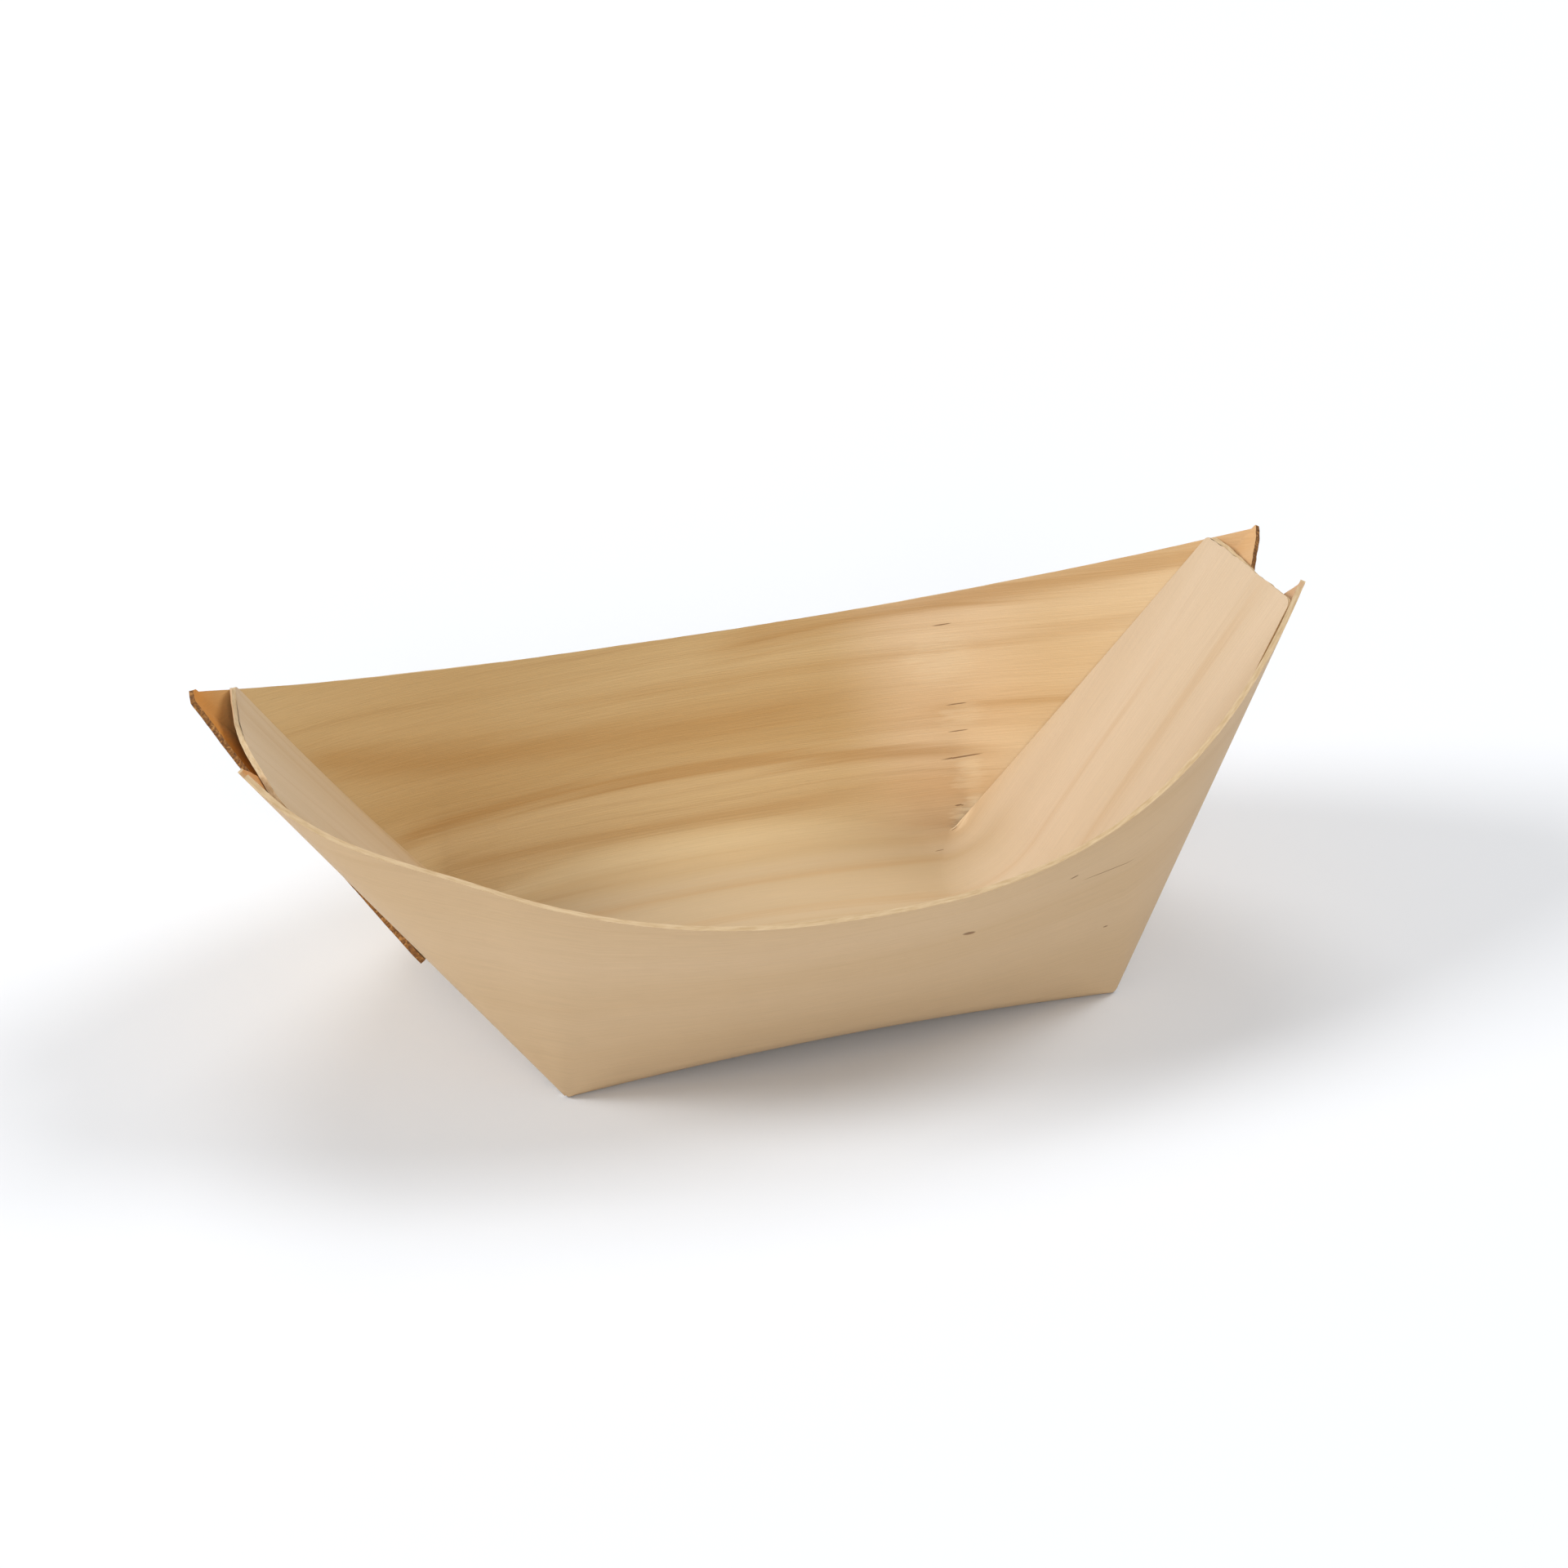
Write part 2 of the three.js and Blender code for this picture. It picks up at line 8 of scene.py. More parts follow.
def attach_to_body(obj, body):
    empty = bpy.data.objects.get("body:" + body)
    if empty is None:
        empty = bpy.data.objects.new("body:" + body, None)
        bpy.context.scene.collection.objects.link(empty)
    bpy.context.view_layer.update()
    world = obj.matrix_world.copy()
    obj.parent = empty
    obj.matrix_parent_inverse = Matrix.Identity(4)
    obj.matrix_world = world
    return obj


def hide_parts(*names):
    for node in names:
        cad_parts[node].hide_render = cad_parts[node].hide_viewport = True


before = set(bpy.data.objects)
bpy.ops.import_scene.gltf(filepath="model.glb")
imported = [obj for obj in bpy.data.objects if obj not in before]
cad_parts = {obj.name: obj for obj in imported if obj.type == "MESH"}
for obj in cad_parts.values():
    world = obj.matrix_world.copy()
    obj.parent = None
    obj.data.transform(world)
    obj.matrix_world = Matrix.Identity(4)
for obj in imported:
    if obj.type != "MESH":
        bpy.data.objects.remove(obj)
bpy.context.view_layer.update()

# Sizes of the folded sheet in millimetres, with angles in radians
SHEET = 0.7
METRES = 0.001
CENTRE_SHIFT = np.array([0.7, 0.0, 0.0])

# Floor: its length and widths, the arch between its feet, and the crease radius amidships and at the ends
FLOOR_LENGTH = 72.2
FLOOR_SHIFT = (0.5, -0.6)
FLOOR_SKEW = 1.9
FLOOR_WIDTH = {"bow": 47.6, "stern": 51.0}
SIDE_BULGE = 2.4
ARCH_RISE = 1.8
ARCH_SOFTNESS = 1.2
FOOT_LENGTH = 7.0
FOOT_TAPER = 0.01
FOOT_START = 1 - 2 * FOOT_LENGTH / FLOOR_LENGTH
CREASE_RADIUS = (6.0, 0.5)

# Rim: its beam and lowest height, how it climbs to the tips, and a later climb before one of them
RIM_BEAM = 80.4
RIM_DIP = {"near": 26.6, "far": 27.1}
RIM_POWER = 2.35
RIM_TURN = {("stern", "near"): 1.3}
RIM_TURN_SPAN = (0.64, 0.94)
BEND_LEAN = 2.5

# Ends: their slope, how much steeper they stand than their solids, and the tips up the slope and across it
STEEPER = {"bow": 0.0, "stern": math.radians(0.5)}
SLOPE = {"bow": math.radians(53.8) + STEEPER["bow"], "stern": math.radians(51.2) + STEEPER["stern"]}
TIP = {
    ("bow", "near"): (55.2, -7.7),
    ("bow", "far"): (57.0, 7.2),
    ("stern", "near"): (55.3, -9.1),
    ("stern", "far"): (55.5, 12.1),
}
TIP_TRIM = {("stern", "near"): 0.8}
TIP_TRIM_SPAN = (0.93, 1.0)

# Tongues: the bend radius is given in the middle and at the edges
TONGUE_INSET = 1.6
TONGUE_LENGTH = {"bow": 54.0, "stern": 52.1}
TONGUE_LEAN = {"bow": math.radians(0.3), "stern": math.radians(0.85)}
TONGUE_CURL = {"bow": 0.8, "stern": 2.4}
TONGUE_BEND = (16.0, 1.5)
TONGUE_CORNER = {"bow": 1.2, "stern": 3.0}
TONGUE_EDGE_CLEARANCE = 0.35
TONGUE_ROOT_CLEARANCE = -0.3

# Tuck flaps: a flap stops beside the other side's fold, at a distance given at its floor corner and its tip
OVERRUN = {"bow": 0.5, "stern": 0.6}
OUTER_SIDE = {"bow": "near", "stern": "far"}
OUTER_STEP = 0.8
OUTER_TILT = math.radians(0.2)
INNER_TILT = math.radians(-0.1)
OUTER_STOP = (0.4, 0.7)
INNER_STOP = (1.5, 1.5)
FLAP_BULGE = 0.7
FLAP_SPAN = 22.0
SLIT_OPEN = math.radians(7.0)

# Rounded folds at the tips and softened bends at the floor corners
FOLD_REACH = 1.4
FOLD_HANDLE = 0.6
FOLD_AT = 0.994
APEX_START = 0.2
BEND_SOFT_WALL = (0.8, 8.0)
BEND_SOFT_WIDENS = (1.0, 1.2)
BEND_SOFT_BEGINS = (0.3, 1.0)
BEND_SOFT_CHEEK = (0.8, 0.1)

# Uneven cut edges: how deep, and the waves of each edge
RIM_RAGGED = 0.08
END_RAGGED = 0.45
WAVES = ((0.23, 1.0), (0.61, 0.7), (1.37, 0.5), (2.9, 0.35), (5.3, 0.2))
WAVES_REACH = 5.5
EDGE_PHASE = 1.7
WAVE_PHASE = 2.3
RIM_SEED = {"near": 3, "far": 4}
TONGUE_SEED = {"bow": 11, "stern": 13}
FLAP_SEED = {("bow", "near"): 17, ("bow", "far"): 18, ("stern", "near"): 19, ("stern", "far"): 20}
TONGUE_WAVES = 7.8
FLAP_WAVES = 60.0

# Columns and rows of the meshes
WIDTH_COLUMNS = 61
FLOOR_ROWS = 97
JOIN_ROWS = 6
WALL_COLUMNS = 145
CREASE_ROWS = 15
WALL_ROWS = 41
BEND_ROWS = 17
TONGUE_ROWS = 41
CORNER_ROWS = 13
CHEEK_COLUMNS = 65
CHEEK_ROWS = 49
FLAP_COLUMNS = 81
FOLD_ROWS = 17
FLAP_ROWS = 29
FOLD_SHARE = 0.12

# Steps of the numeric work
FINE_STEP = 1e-4
COARSE_STEP = 1e-3
TINY = 1e-9
HALVINGS = 40
FAN_STEPS = 200
BEND_STEPS = 80

ENDS = ("bow", "stern")
SIDES = ("near", "far")
END_SIGN = {"bow": 1.0, "stern": -1.0}
SIDE_SIGN = {"near": -1.0, "far": 1.0}
OTHER = {"near": "far", "far": "near"}
UP = np.array([0.0, 0.0, 1.0])


def unit(v):
    return v / np.linalg.norm(v, axis=-1, keepdims=True)


def mix(a, b, t):
    return a + (b - a) * t


def dot(a, b):
    return np.sum(a * b, axis=-1)


def smooth_share(value, low, high):
    t = np.clip((value - low) / (high - low), 0, 1)
    return t * t * (3 - 2 * t)


def spread(*parts):
    values = [np.linspace(*part) for part in parts]
    return np.concatenate([values[0]] + [v[1:] for v in values[1:]])


# Slow and quick wobble along an edge, from about 0 to 1, the same on every run
def wobble(x, seed):
    x = np.asarray(x, float)
    total = np.zeros_like(x)
    for k, (rate, height) in enumerate(WAVES):
        total += height * np.sin(rate * x + EDGE_PHASE * seed + WAVE_PHASE * k * k)
    return 0.5 + total / WAVES_REACH


# Floor corners, plane and tips of one end
class End:
    def __init__(self, name):
        self.name = name
        self.sign = END_SIGN[name]
        self.slope = SLOPE[name]
        self.corner = {side: self.floor_corner(SIDE_SIGN[side]) for side in SIDES}
        self.middle = (self.corner["near"] + self.corner["far"]) / 2
        self.across = unit(self.corner["far"] - self.corner["near"])
        self.outward = self.sign * np.cross(self.across, UP)
        self.back_normal = self.up_slope(self.slope - math.pi / 2)
        self.tip = {side: self.on_plane(*TIP[name, side]) for side in SIDES}

    def floor_corner(self, side_sign):
        x = FLOOR_SHIFT[0] + self.sign * FLOOR_LENGTH / 2 - side_sign * FLOOR_SKEW / 2
        y = FLOOR_SHIFT[1] + side_sign * FLOOR_WIDTH[self.name] / 2
        return np.array([x, y, SHEET / 2])

    def up_slope(self, angle):
        return self.outward * math.cos(angle) + UP * math.sin(angle)

    def on_plane(self, up, across):
        return self.middle + self.up_slope(self.slope) * up + self.across * across


END = {name: End(name) for name in ENDS}


# Rim line: s runs from -1 at the stern tip to 1 at the bow tip
def rim_point(side, s):
    s = np.asarray(s, float)[..., None]
    tip = np.where(s < 0, END["stern"].tip[side], END["bow"].tip[side])
    turn = np.where(s < 0, RIM_TURN.get(("stern", side), 0.0), RIM_TURN.get(("bow", side), 0.0))
    late = np.clip((np.abs(s) - RIM_TURN_SPAN[0]) / (RIM_TURN_SPAN[1] - RIM_TURN_SPAN[0]), 0, 1)
    rise = np.abs(s) ** (RIM_POWER + turn * late * late)
    middle = np.array([0.0, SIDE_SIGN[side] * RIM_BEAM / 2, RIM_DIP[side]])
    point = mix(middle, tip, rise)
    point[..., 0] = (np.abs(s) * tip)[..., 0]
    return point


# Place on the rim, from 0 to 1, where the bend from a floor corner reaches it
def rim_bend(end, side):
    return end.sign * (end.corner[side][0] - end.sign * BEND_LEAN) / abs(end.tip[side][0])


def rim_tangent(end, side, s):
    before = rim_point(side, end.sign * (s - FINE_STEP))
    return unit(rim_point(side, end.sign * s) - before)


def rim_cut(side, x):
    return RIM_RAGGED * wobble(x, RIM_SEED[side])


def arch_share(a, foot):
    return np.maximum(0, 1 - (a / foot) ** 2) ** ARCH_SOFTNESS


# Crease between floor and side wall: a runs from -1 at the stern corner to 1 at the bow corner
def crease_point(side, a):
    a = np.asarray(a, float)
    share = arch_share(a, FOOT_START)
    point = mix(END["stern"].corner[side], END["bow"].corner[side], (a[..., None] + 1) / 2)
    point[..., 1] += SIDE_SIGN[side] * SIDE_BULGE * share
    point[..., 2] += ARCH_RISE * share
    return point


def crease_fillet(side, a):
    a = np.asarray(a, float)
    crease = crease_point(side, a)
    rim = rim_point(side, mix(-rim_bend(END["stern"], side), rim_bend(END["bow"], side), (a + 1) / 2))
    up_wall = unit(rim - crease)
    along_floor = np.broadcast_to(np.array([0.0, -SIDE_SIGN[side], 0.0]), up_wall.shape)
    angle = np.arccos(np.clip(dot(along_floor, up_wall), -1, 1))[..., None]
    radius = mix(CREASE_RADIUS[0], CREASE_RADIUS[1], a * a)[..., None]
    tangent = radius / np.tan(angle / 2)
    return {
        "crease": crease,
        "rim": rim,
        "centre": crease + unit(along_floor + up_wall) * radius / np.sin(angle / 2),
        "floor_end": crease + along_floor * tangent,
        "wall_start": crease + up_wall * tangent,
        "arc": (radius * (math.pi - angle))[..., 0],
    }


def arc_between(start, stop, t):
    angle = np.arccos(np.clip(dot(unit(start), unit(stop)), -1, 1))[..., None]
    t = t[..., None]
    return (np.sin((1 - t) * angle) * start + np.sin(t * angle) * stop) / np.sin(angle)


# Plane, bend and slit edges of one tongue
class Tongue:
    def __init__(self, end):
        self.end = end
        self.slope = end.slope - TONGUE_LEAN[end.name]
        self.length = TONGUE_LENGTH[end.name]
        self.set_back = TONGUE_INSET / math.sin(end.slope)
        self.root = end.middle - end.outward * self.set_back
        self.along = end.up_slope(self.slope)
        self.normal = end.up_slope(self.slope + math.pi / 2)
        self.edge = {side: self.slit_edge(side) for side in SIDES}

    def bend_radius(self, b):
        return mix(TONGUE_BEND[0], TONGUE_BEND[1], b * b)

    def bend_tangent(self, b):
        return self.bend_radius(b) * math.tan(self.slope / 2)

    def curl(self, b, length):
        return TONGUE_CURL[self.end.name] * np.maximum(0, b) ** 2 * (length / self.length) ** 2

    # Place where the rim passes through the tongue's surface
    def rim_crossing(self, side):
        inner = rim_bend(self.end, side)
        outer = 1.0
        for _ in range(HALVINGS):
            s = (inner + outer) / 2
            offset = rim_point(side, self.end.sign * s) - self.root
            if dot(offset, self.normal) > self.curl(SIDE_SIGN[side], dot(offset, self.along)):
                inner = s
            else:
                outer = s
        return rim_point(side, self.end.sign * inner)

    # Half width at the root and how much it grows for each millimetre up the tongue
    def slit_edge(self, side):
        start = 1 - 2 * (self.set_back + self.bend_tangent(1.0)) / FLOOR_LENGTH
        at_root = crease_fillet(side, self.end.sign * start)["floor_end"] - self.root
        at_rim = self.rim_crossing(side) - self.root
        root_width = abs(dot(at_root, self.end.across)) - TONGUE_ROOT_CLEARANCE
        rim_width = abs(dot(at_rim, self.end.across)) - TONGUE_EDGE_CLEARANCE
        return root_width, (rim_width - root_width) / dot(at_rim, self.along)

    def width(self, b, length):
        near_start, near_taper = self.edge["near"]
        far_start, far_taper = self.edge["far"]
        return np.where(b < 0, near_start + near_taper * length, far_start + far_taper * length)


TONGUE = {name: Tongue(END[name]) for name in ENDS}


# Surfaces of the panels: each gives points, and places on the flat sheet along and across the grain.
# Side wall: v runs round the crease from 0 to 1 and up to the rim from 1 to 2
def wall_surface(side, a, v):
    fillet = crease_fillet(side, a)
    turn = np.clip(v, 0, 1)
    rise = np.clip(v - 1, 0, 1)
    from_centre = fillet["floor_end"] - fillet["centre"]
    to_wall = fillet["wall_start"] - fillet["centre"]
    arc = arc_between(from_centre, to_wall, turn) + fillet["centre"]
    length = np.linalg.norm(fillet["rim"] - fillet["wall_start"], axis=-1)
    cut = 1 - rim_cut(side, fillet["rim"][..., 0]) / length
    straight = mix(fillet["wall_start"], fillet["rim"], (rise * cut)[..., None])
    point = np.where(v[..., None] < 1, arc, straight)
    along = mix(fillet["crease"][..., 0], fillet["rim"][..., 0], rise)
    across = fillet["floor_end"][..., 1] + SIDE_SIGN[side] * (fillet["arc"] * turn + length * rise)
    return point, np.stack([along, across], -1)


# Point on the floor before its arch: b runs from -1 at the far crease to 1 at the near one
def floor_point(a, b):
    far = crease_fillet("far", a)["floor_end"]
    near = crease_fillet("near", a)["floor_end"]
    return mix(far, near, (b[..., None] + 1) / 2)


# Place along the floor, from 0 to 1, where a tongue's bend begins
def floor_end_share(end, b):
    tongue = TONGUE[end.name]
    sample = floor_point(np.full_like(b, end.sign * FOOT_START), b)
    offset = dot(sample - tongue.root, end.across)
    tangent = tongue.bend_tangent(np.minimum(1, np.abs(offset) / tongue.width(offset, 0.0)))
    return 1 - 2 * (tongue.set_back + tangent) / FLOOR_LENGTH


# Floor: row runs over the floor from -1 to 1, and from there to the tongues at -2 and 2
def floor_surface(b, row):
    last = np.where(row < 0, floor_end_share(END["stern"], b), floor_end_share(END["bow"], b))
    foot = np.minimum(FOOT_START, last - FOOT_TAPER)
    size = np.abs(row)
    a = np.sign(row) * np.minimum(1, size) * foot
    point = floor_point(a, b)
    point[..., 2] = SHEET / 2 + ARCH_RISE * arch_share(a, foot)
    at_stern, at_bow = (tongue_surface(END[name], -b, 0 * b)[0] for name in ("stern", "bow"))
    at_tongue = np.where(row[..., None] < 0, at_stern, at_bow)
    point = mix(point, at_tongue, np.maximum(0, size - 1)[..., None])
    return point, point[..., :2].copy()


# Floor corner on the flat sheet, and the angle of the bend that leaves it
def flat_fan(end, side):
    corner = end.corner[side]
    bend = rim_point(side, end.sign * rim_bend(end, side)) - corner
    rise = math.sqrt(dot(bend, bend) - BEND_LEAN ** 2)
    return corner[:2], math.atan2(rise, -BEND_LEAN)


# Angle that a cheek has turned about its floor corner, by place on the rim
def cheek_fan(end, side):
    s = np.linspace(rim_bend(end, side), 1, FAN_STEPS)
    rays = unit(rim_point(side, end.sign * s) - end.corner[side])
    turn = np.arccos(np.clip(dot(rays[1:], rays[:-1]), -1, 1))
    return s, np.concatenate([[0.0], np.cumsum(turn)])


# Cheek: s is the place on the rim, v runs from 0 at the floor corner to 1 at the rim
def cheek_surface(end, side, s, v):
    apex = end.corner[side]
    rim = rim_point(side, end.sign * s)
    to_rim = rim - apex
    length = np.linalg.norm(to_rim, axis=-1)
    trim = TIP_TRIM.get((end.name, side), 0.0) * smooth_share(s, *TIP_TRIM_SPAN)
    reach = mix(APEX_START, length - rim_cut(side, rim[..., 0]) - trim, v)
    point = apex + to_rim * (reach / length)[..., None]
    origin, first = flat_fan(end, side)
    angle = first - np.interp(s, *cheek_fan(end, side))
    along = origin[0] + end.sign * reach * np.cos(angle)
    across = origin[1] + SIDE_SIGN[side] * reach * np.sin(angle)
    return point, np.stack([along, across], -1)


# Tongue: b runs from -1 at the near edge to 1 at the far one, v round the bend from 0 to 1,
# straight up from 1 to 2 and past the rounded corners from 2 to 3
def tongue_surface(end, b, v, ragged=0.0):
    tongue = TONGUE[end.name]
    corner = TONGUE_CORNER[end.name]
    tangent = tongue.bend_tangent(b)
    turn = np.clip(v, 0, 1)
    start = tongue.root - end.outward * tangent[..., None]
    centre = start + UP * tongue.bend_radius(b)[..., None]
    stop = tongue.root + tongue.along * tangent[..., None]
    arc = arc_between(start - centre, stop - centre, turn) + centre
    last = np.clip(v - 2, 0, 1)
    length = mix(tangent, tongue.length - corner, np.clip(v - 1, 0, 1)) + (corner - ragged) * last
    straight = tongue.root + tongue.along * length[..., None]
    on_arc = v < 1
    along = np.where(on_arc, tangent * (2 * turn - 1), length)
    reach = np.maximum(0, along)
    inset = np.where(on_arc, 0, corner * (1 - np.sqrt(1 - last * last)))
    across = b * (tongue.width(b, reach) - inset)
    point = np.where(on_arc[..., None], arc, straight) + end.across * across[..., None]
    point = point + tongue.normal * tongue.curl(b, reach)[..., None]
    flat = np.stack([end.middle[0] + end.sign * (along - tongue.set_back), end.middle[1] + across], -1)
    return point, flat


# Tuck flap: the end of a side strip, folded over at the tip and laid behind the tongue
class Flap:
    def __init__(self, end, side):
        self.end = end
        self.side = side
        self.outer = OUTER_SIDE[end.name] == side
        self.origin = end.corner[side]
        to_tip = end.tip[side] - self.origin
        self.along = unit(to_tip)
        inward = -SIDE_SIGN[side] * end.across
        level = unit(inward - self.along * dot(inward, self.along))
        tilt = OUTER_TILT if self.outer else INNER_TILT
        self.across = level * math.cos(tilt) + end.back_normal * math.sin(tilt)
        self.step = end.back_normal * (OUTER_STEP if self.outer else 0.0)
        rim = rim_tangent(end, side, FOLD_AT)
        self.from_cheek = unit(rim_point(side, end.sign * FOLD_AT) - self.origin)
        self.leave = unit(rim - self.from_cheek * dot(rim, self.from_cheek))
        self.set_outline(float(np.linalg.norm(to_tip)))
        self.set_stop()

    # Corners on the flat sheet: the tip, the sheet's corner, and where the slit meets the square cut end
    def set_outline(self, fold_length):
        rim_angle = math.acos(dot(rim_tangent(self.end, self.side, 1.0), self.along))
        taper_angle = math.atan(TONGUE[self.end.name].edge[self.side][1])
        slit_angle = rim_angle - taper_angle + (SLIT_OPEN if self.outer else 0.0)
        long_edge = np.array([math.cos(rim_angle), math.sin(rim_angle)])
        slit = np.array([math.cos(slit_angle), math.sin(slit_angle)])
        self.tip = np.array([fold_length - TIP_TRIM.get((self.end.name, self.side), 0.0), 0.0])
        self.sheet_corner = self.tip + long_edge * OVERRUN[self.end.name]
        self.free = slit * (self.sheet_corner @ long_edge) / (slit @ long_edge)

    # Line beside the other side's fold, where the flap stops
    def set_stop(self):
        other = OTHER[self.side]
        low = self.local(self.end.corner[other])
        high = self.local(self.end.tip[other])
        fold = unit(high - low)
        inside = np.array([fold[1], -fold[0]])
        low_gap, high_gap = OUTER_STOP if self.outer else INNER_STOP
        self.stop_from = low + inside * low_gap
        stop_line = unit(high + inside * high_gap - self.stop_from)
        self.stop_normal = np.array([stop_line[1], -stop_line[0]])

    def local(self, point):
        offset = point - self.origin
        return np.array([dot(offset, self.along), dot(offset, self.across)])

    def outline(self, p, ragged):
        start = mix(np.array([APEX_START, 0.0]), self.tip, p[..., None])
        cut_end = mix(self.free, self.sheet_corner, p[..., None])
        run = cut_end - start
        share = 1 - ragged / np.linalg.norm(run, axis=-1)
        here = (start - self.stop_from) @ self.stop_normal
        there = (cut_end - self.stop_from) @ self.stop_normal
        stop = np.where(there < 0, here / np.maximum(here - there, TINY), 1.0)
        return start, run * np.minimum(share, stop)[..., None]

    # Rounded fold from the cheek over to the plane of the flap
    def fold_curve(self, x, y):
        t = np.clip(y / FOLD_REACH, 0, 1)[..., None]
        start = (self.from_cheek - self.along) * x[..., None]
        landing = self.across * FOLD_REACH + self.step
        first = start + self.leave * FOLD_HANDLE
        second = landing - self.across * FOLD_HANDLE
        curve = (1 - t) ** 3 * start + 3 * (1 - t) ** 2 * t * first
        return curve + 3 * (1 - t) * t * t * second + t ** 3 * landing

    # p runs along the fold from 0 at the floor corner to 1 at the tip, q from the fold to the cut end
    def surface(self, p, q, ragged=0.0):
        start, run = self.outline(p, ragged)
        local = start + run * q[..., None]
        x, y = local[..., 0], local[..., 1]
        beyond = self.across * np.maximum(0, y - FOLD_REACH)[..., None]
        point = self.origin + self.along * x[..., None] + self.fold_curve(x, y) + beyond
        if self.outer:
            bulge = FLAP_BULGE * np.sin(math.pi * np.clip(y / FLAP_SPAN, 0, 1)) ** 2
            point = point + self.end.back_normal * bulge[..., None]
        origin, first = flat_fan(self.end, self.side)
        angle = first - cheek_fan(self.end, self.side)[1][-1]
        along = origin[0] + self.end.sign * (x * math.cos(angle) + y * math.sin(angle))
        across = origin[1] + SIDE_SIGN[self.side] * (x * math.sin(angle) - y * math.cos(angle))
        return point, np.stack([along, across], -1)


# Normals along a bend line, by distance from the floor corner: between the wall's and the cheek's
class BendNormals:
    def __init__(self, end, side):
        self.apex = end.corner[side]
        v = np.linspace(1, 2, BEND_STEPS)
        a = np.full_like(v, end.sign)
        points = wall_surface(side, a, v)[0]
        forward = (points - wall_surface(side, a * (1 - COARSE_STEP), v)[0]) * end.sign
        self.ray = unit(points[-1] - self.apex)
        wall = unit(np.cross(forward, self.ray)) * SIDE_SIGN[side]
        tangent = rim_tangent(end, side, rim_bend(end, side)) * end.sign
        cheek = unit(np.cross(tangent, self.ray)) * SIDE_SIGN[side]
        self.reach = dot(points - self.apex, self.ray)
        self.normal = unit(wall + cheek * np.sign(dot(wall, cheek))[..., None])

    def at(self, points):
        reach = np.linalg.norm(points - self.apex, axis=-1)
        return unit(np.stack([np.interp(reach, self.reach, self.normal[:, k]) for k in range(3)], -1))

    def distance(self, points):
        return np.linalg.norm(np.cross(points - self.apex, self.ray), axis=-1)


BEND_NORMALS = {(name, side): BendNormals(END[name], side) for name in ENDS for side in SIDES}


def soften_wall(side, a, v, points, normal):
    for name in ENDS:
        away = (1 - END_SIGN[name] * a) * FLOOR_LENGTH / 2
        width = mix(BEND_SOFT_WALL[0], BEND_SOFT_WALL[1], smooth_share(v, *BEND_SOFT_WIDENS))
        share = np.exp(-((away / width) ** 2)) * smooth_share(v, *BEND_SOFT_BEGINS)
        normal = unit(mix(normal, BEND_NORMALS[name, side].at(points), share[..., None]))
    return normal


def soften_cheek(name, side, points, normal):
    bend = BEND_NORMALS[name, side]
    reach = np.linalg.norm(points - bend.apex, axis=-1)
    width = BEND_SOFT_CHEEK[0] + BEND_SOFT_CHEEK[1] * reach
    share = np.exp(-((bend.distance(points) / width) ** 2))
    return unit(mix(normal, bend.at(points), share[..., None]))


def surface_normals(surface, u, v):
    def difference(u_step, v_step):
        ahead = surface(np.clip(u + u_step, u.min(), u.max()), np.clip(v + v_step, v.min(), v.max()))[0]
        behind = surface(np.clip(u - u_step, u.min(), u.max()), np.clip(v - v_step, v.min(), v.max()))[0]
        return ahead - behind

    forward = difference(COARSE_STEP * (u[-1, 0] - u[0, 0]), 0.0)
    sideways = difference(0.0, COARSE_STEP * (v[0, -1] - v[0, 0]))
    return unit(np.cross(forward, sideways))


# Four-sided faces of the inside, the outside and the edges between, and the material of each.
# edge_kinds gives the material of each edge that is cut; the others are seams inside the sheet
def sheet_faces(columns, rows, edge_kinds, flip):
    count = columns * rows
    index = np.arange(count).reshape(columns, rows)
    a, b, c, d = index[:-1, :-1], index[1:, :-1], index[1:, 1:], index[:-1, 1:]
    inside = np.stack([a, b, c, d], -1).reshape(-1, 4)
    outside = np.stack([a, d, c, b], -1).reshape(-1, 4) + count
    first_key, last_key = ("u1", "u0") if flip else ("u0", "u1")
    edges = {"v0": index[:, 0], "v1": index[::-1, -1], first_key: index[0, ::-1], last_key: index[-1, :]}
    faces = [inside, outside]
    kinds = [np.zeros(2 * len(inside), int)]
    for key, line in edges.items():
        first, second = line[:-1], line[1:]
        faces.append(np.stack([second, first, first + count, second + count], -1))
        kinds.append(np.full(len(first), edge_kinds.get(key, 0)))
    return np.concatenate(faces), np.concatenate(kinds)


# Normals at the corners of all faces: smooth on the inside and outside, square on the edges between
def corner_normals(coords, polygons, normal):
    smooth = np.concatenate([normal, -normal])[polygons.ravel()]
    corners = coords[polygons]
    square = np.cross(corners[:, 2] - corners[:, 0], corners[:, 3] - corners[:, 1])
    square /= np.maximum(np.linalg.norm(square, axis=1, keepdims=True), TINY)
    layer = polygons >= len(normal)
    on_face = np.all(layer == layer[:, :1], axis=1)
    return np.where(np.repeat(on_face, 4)[:, None], smooth, np.repeat(square, 4, 0))


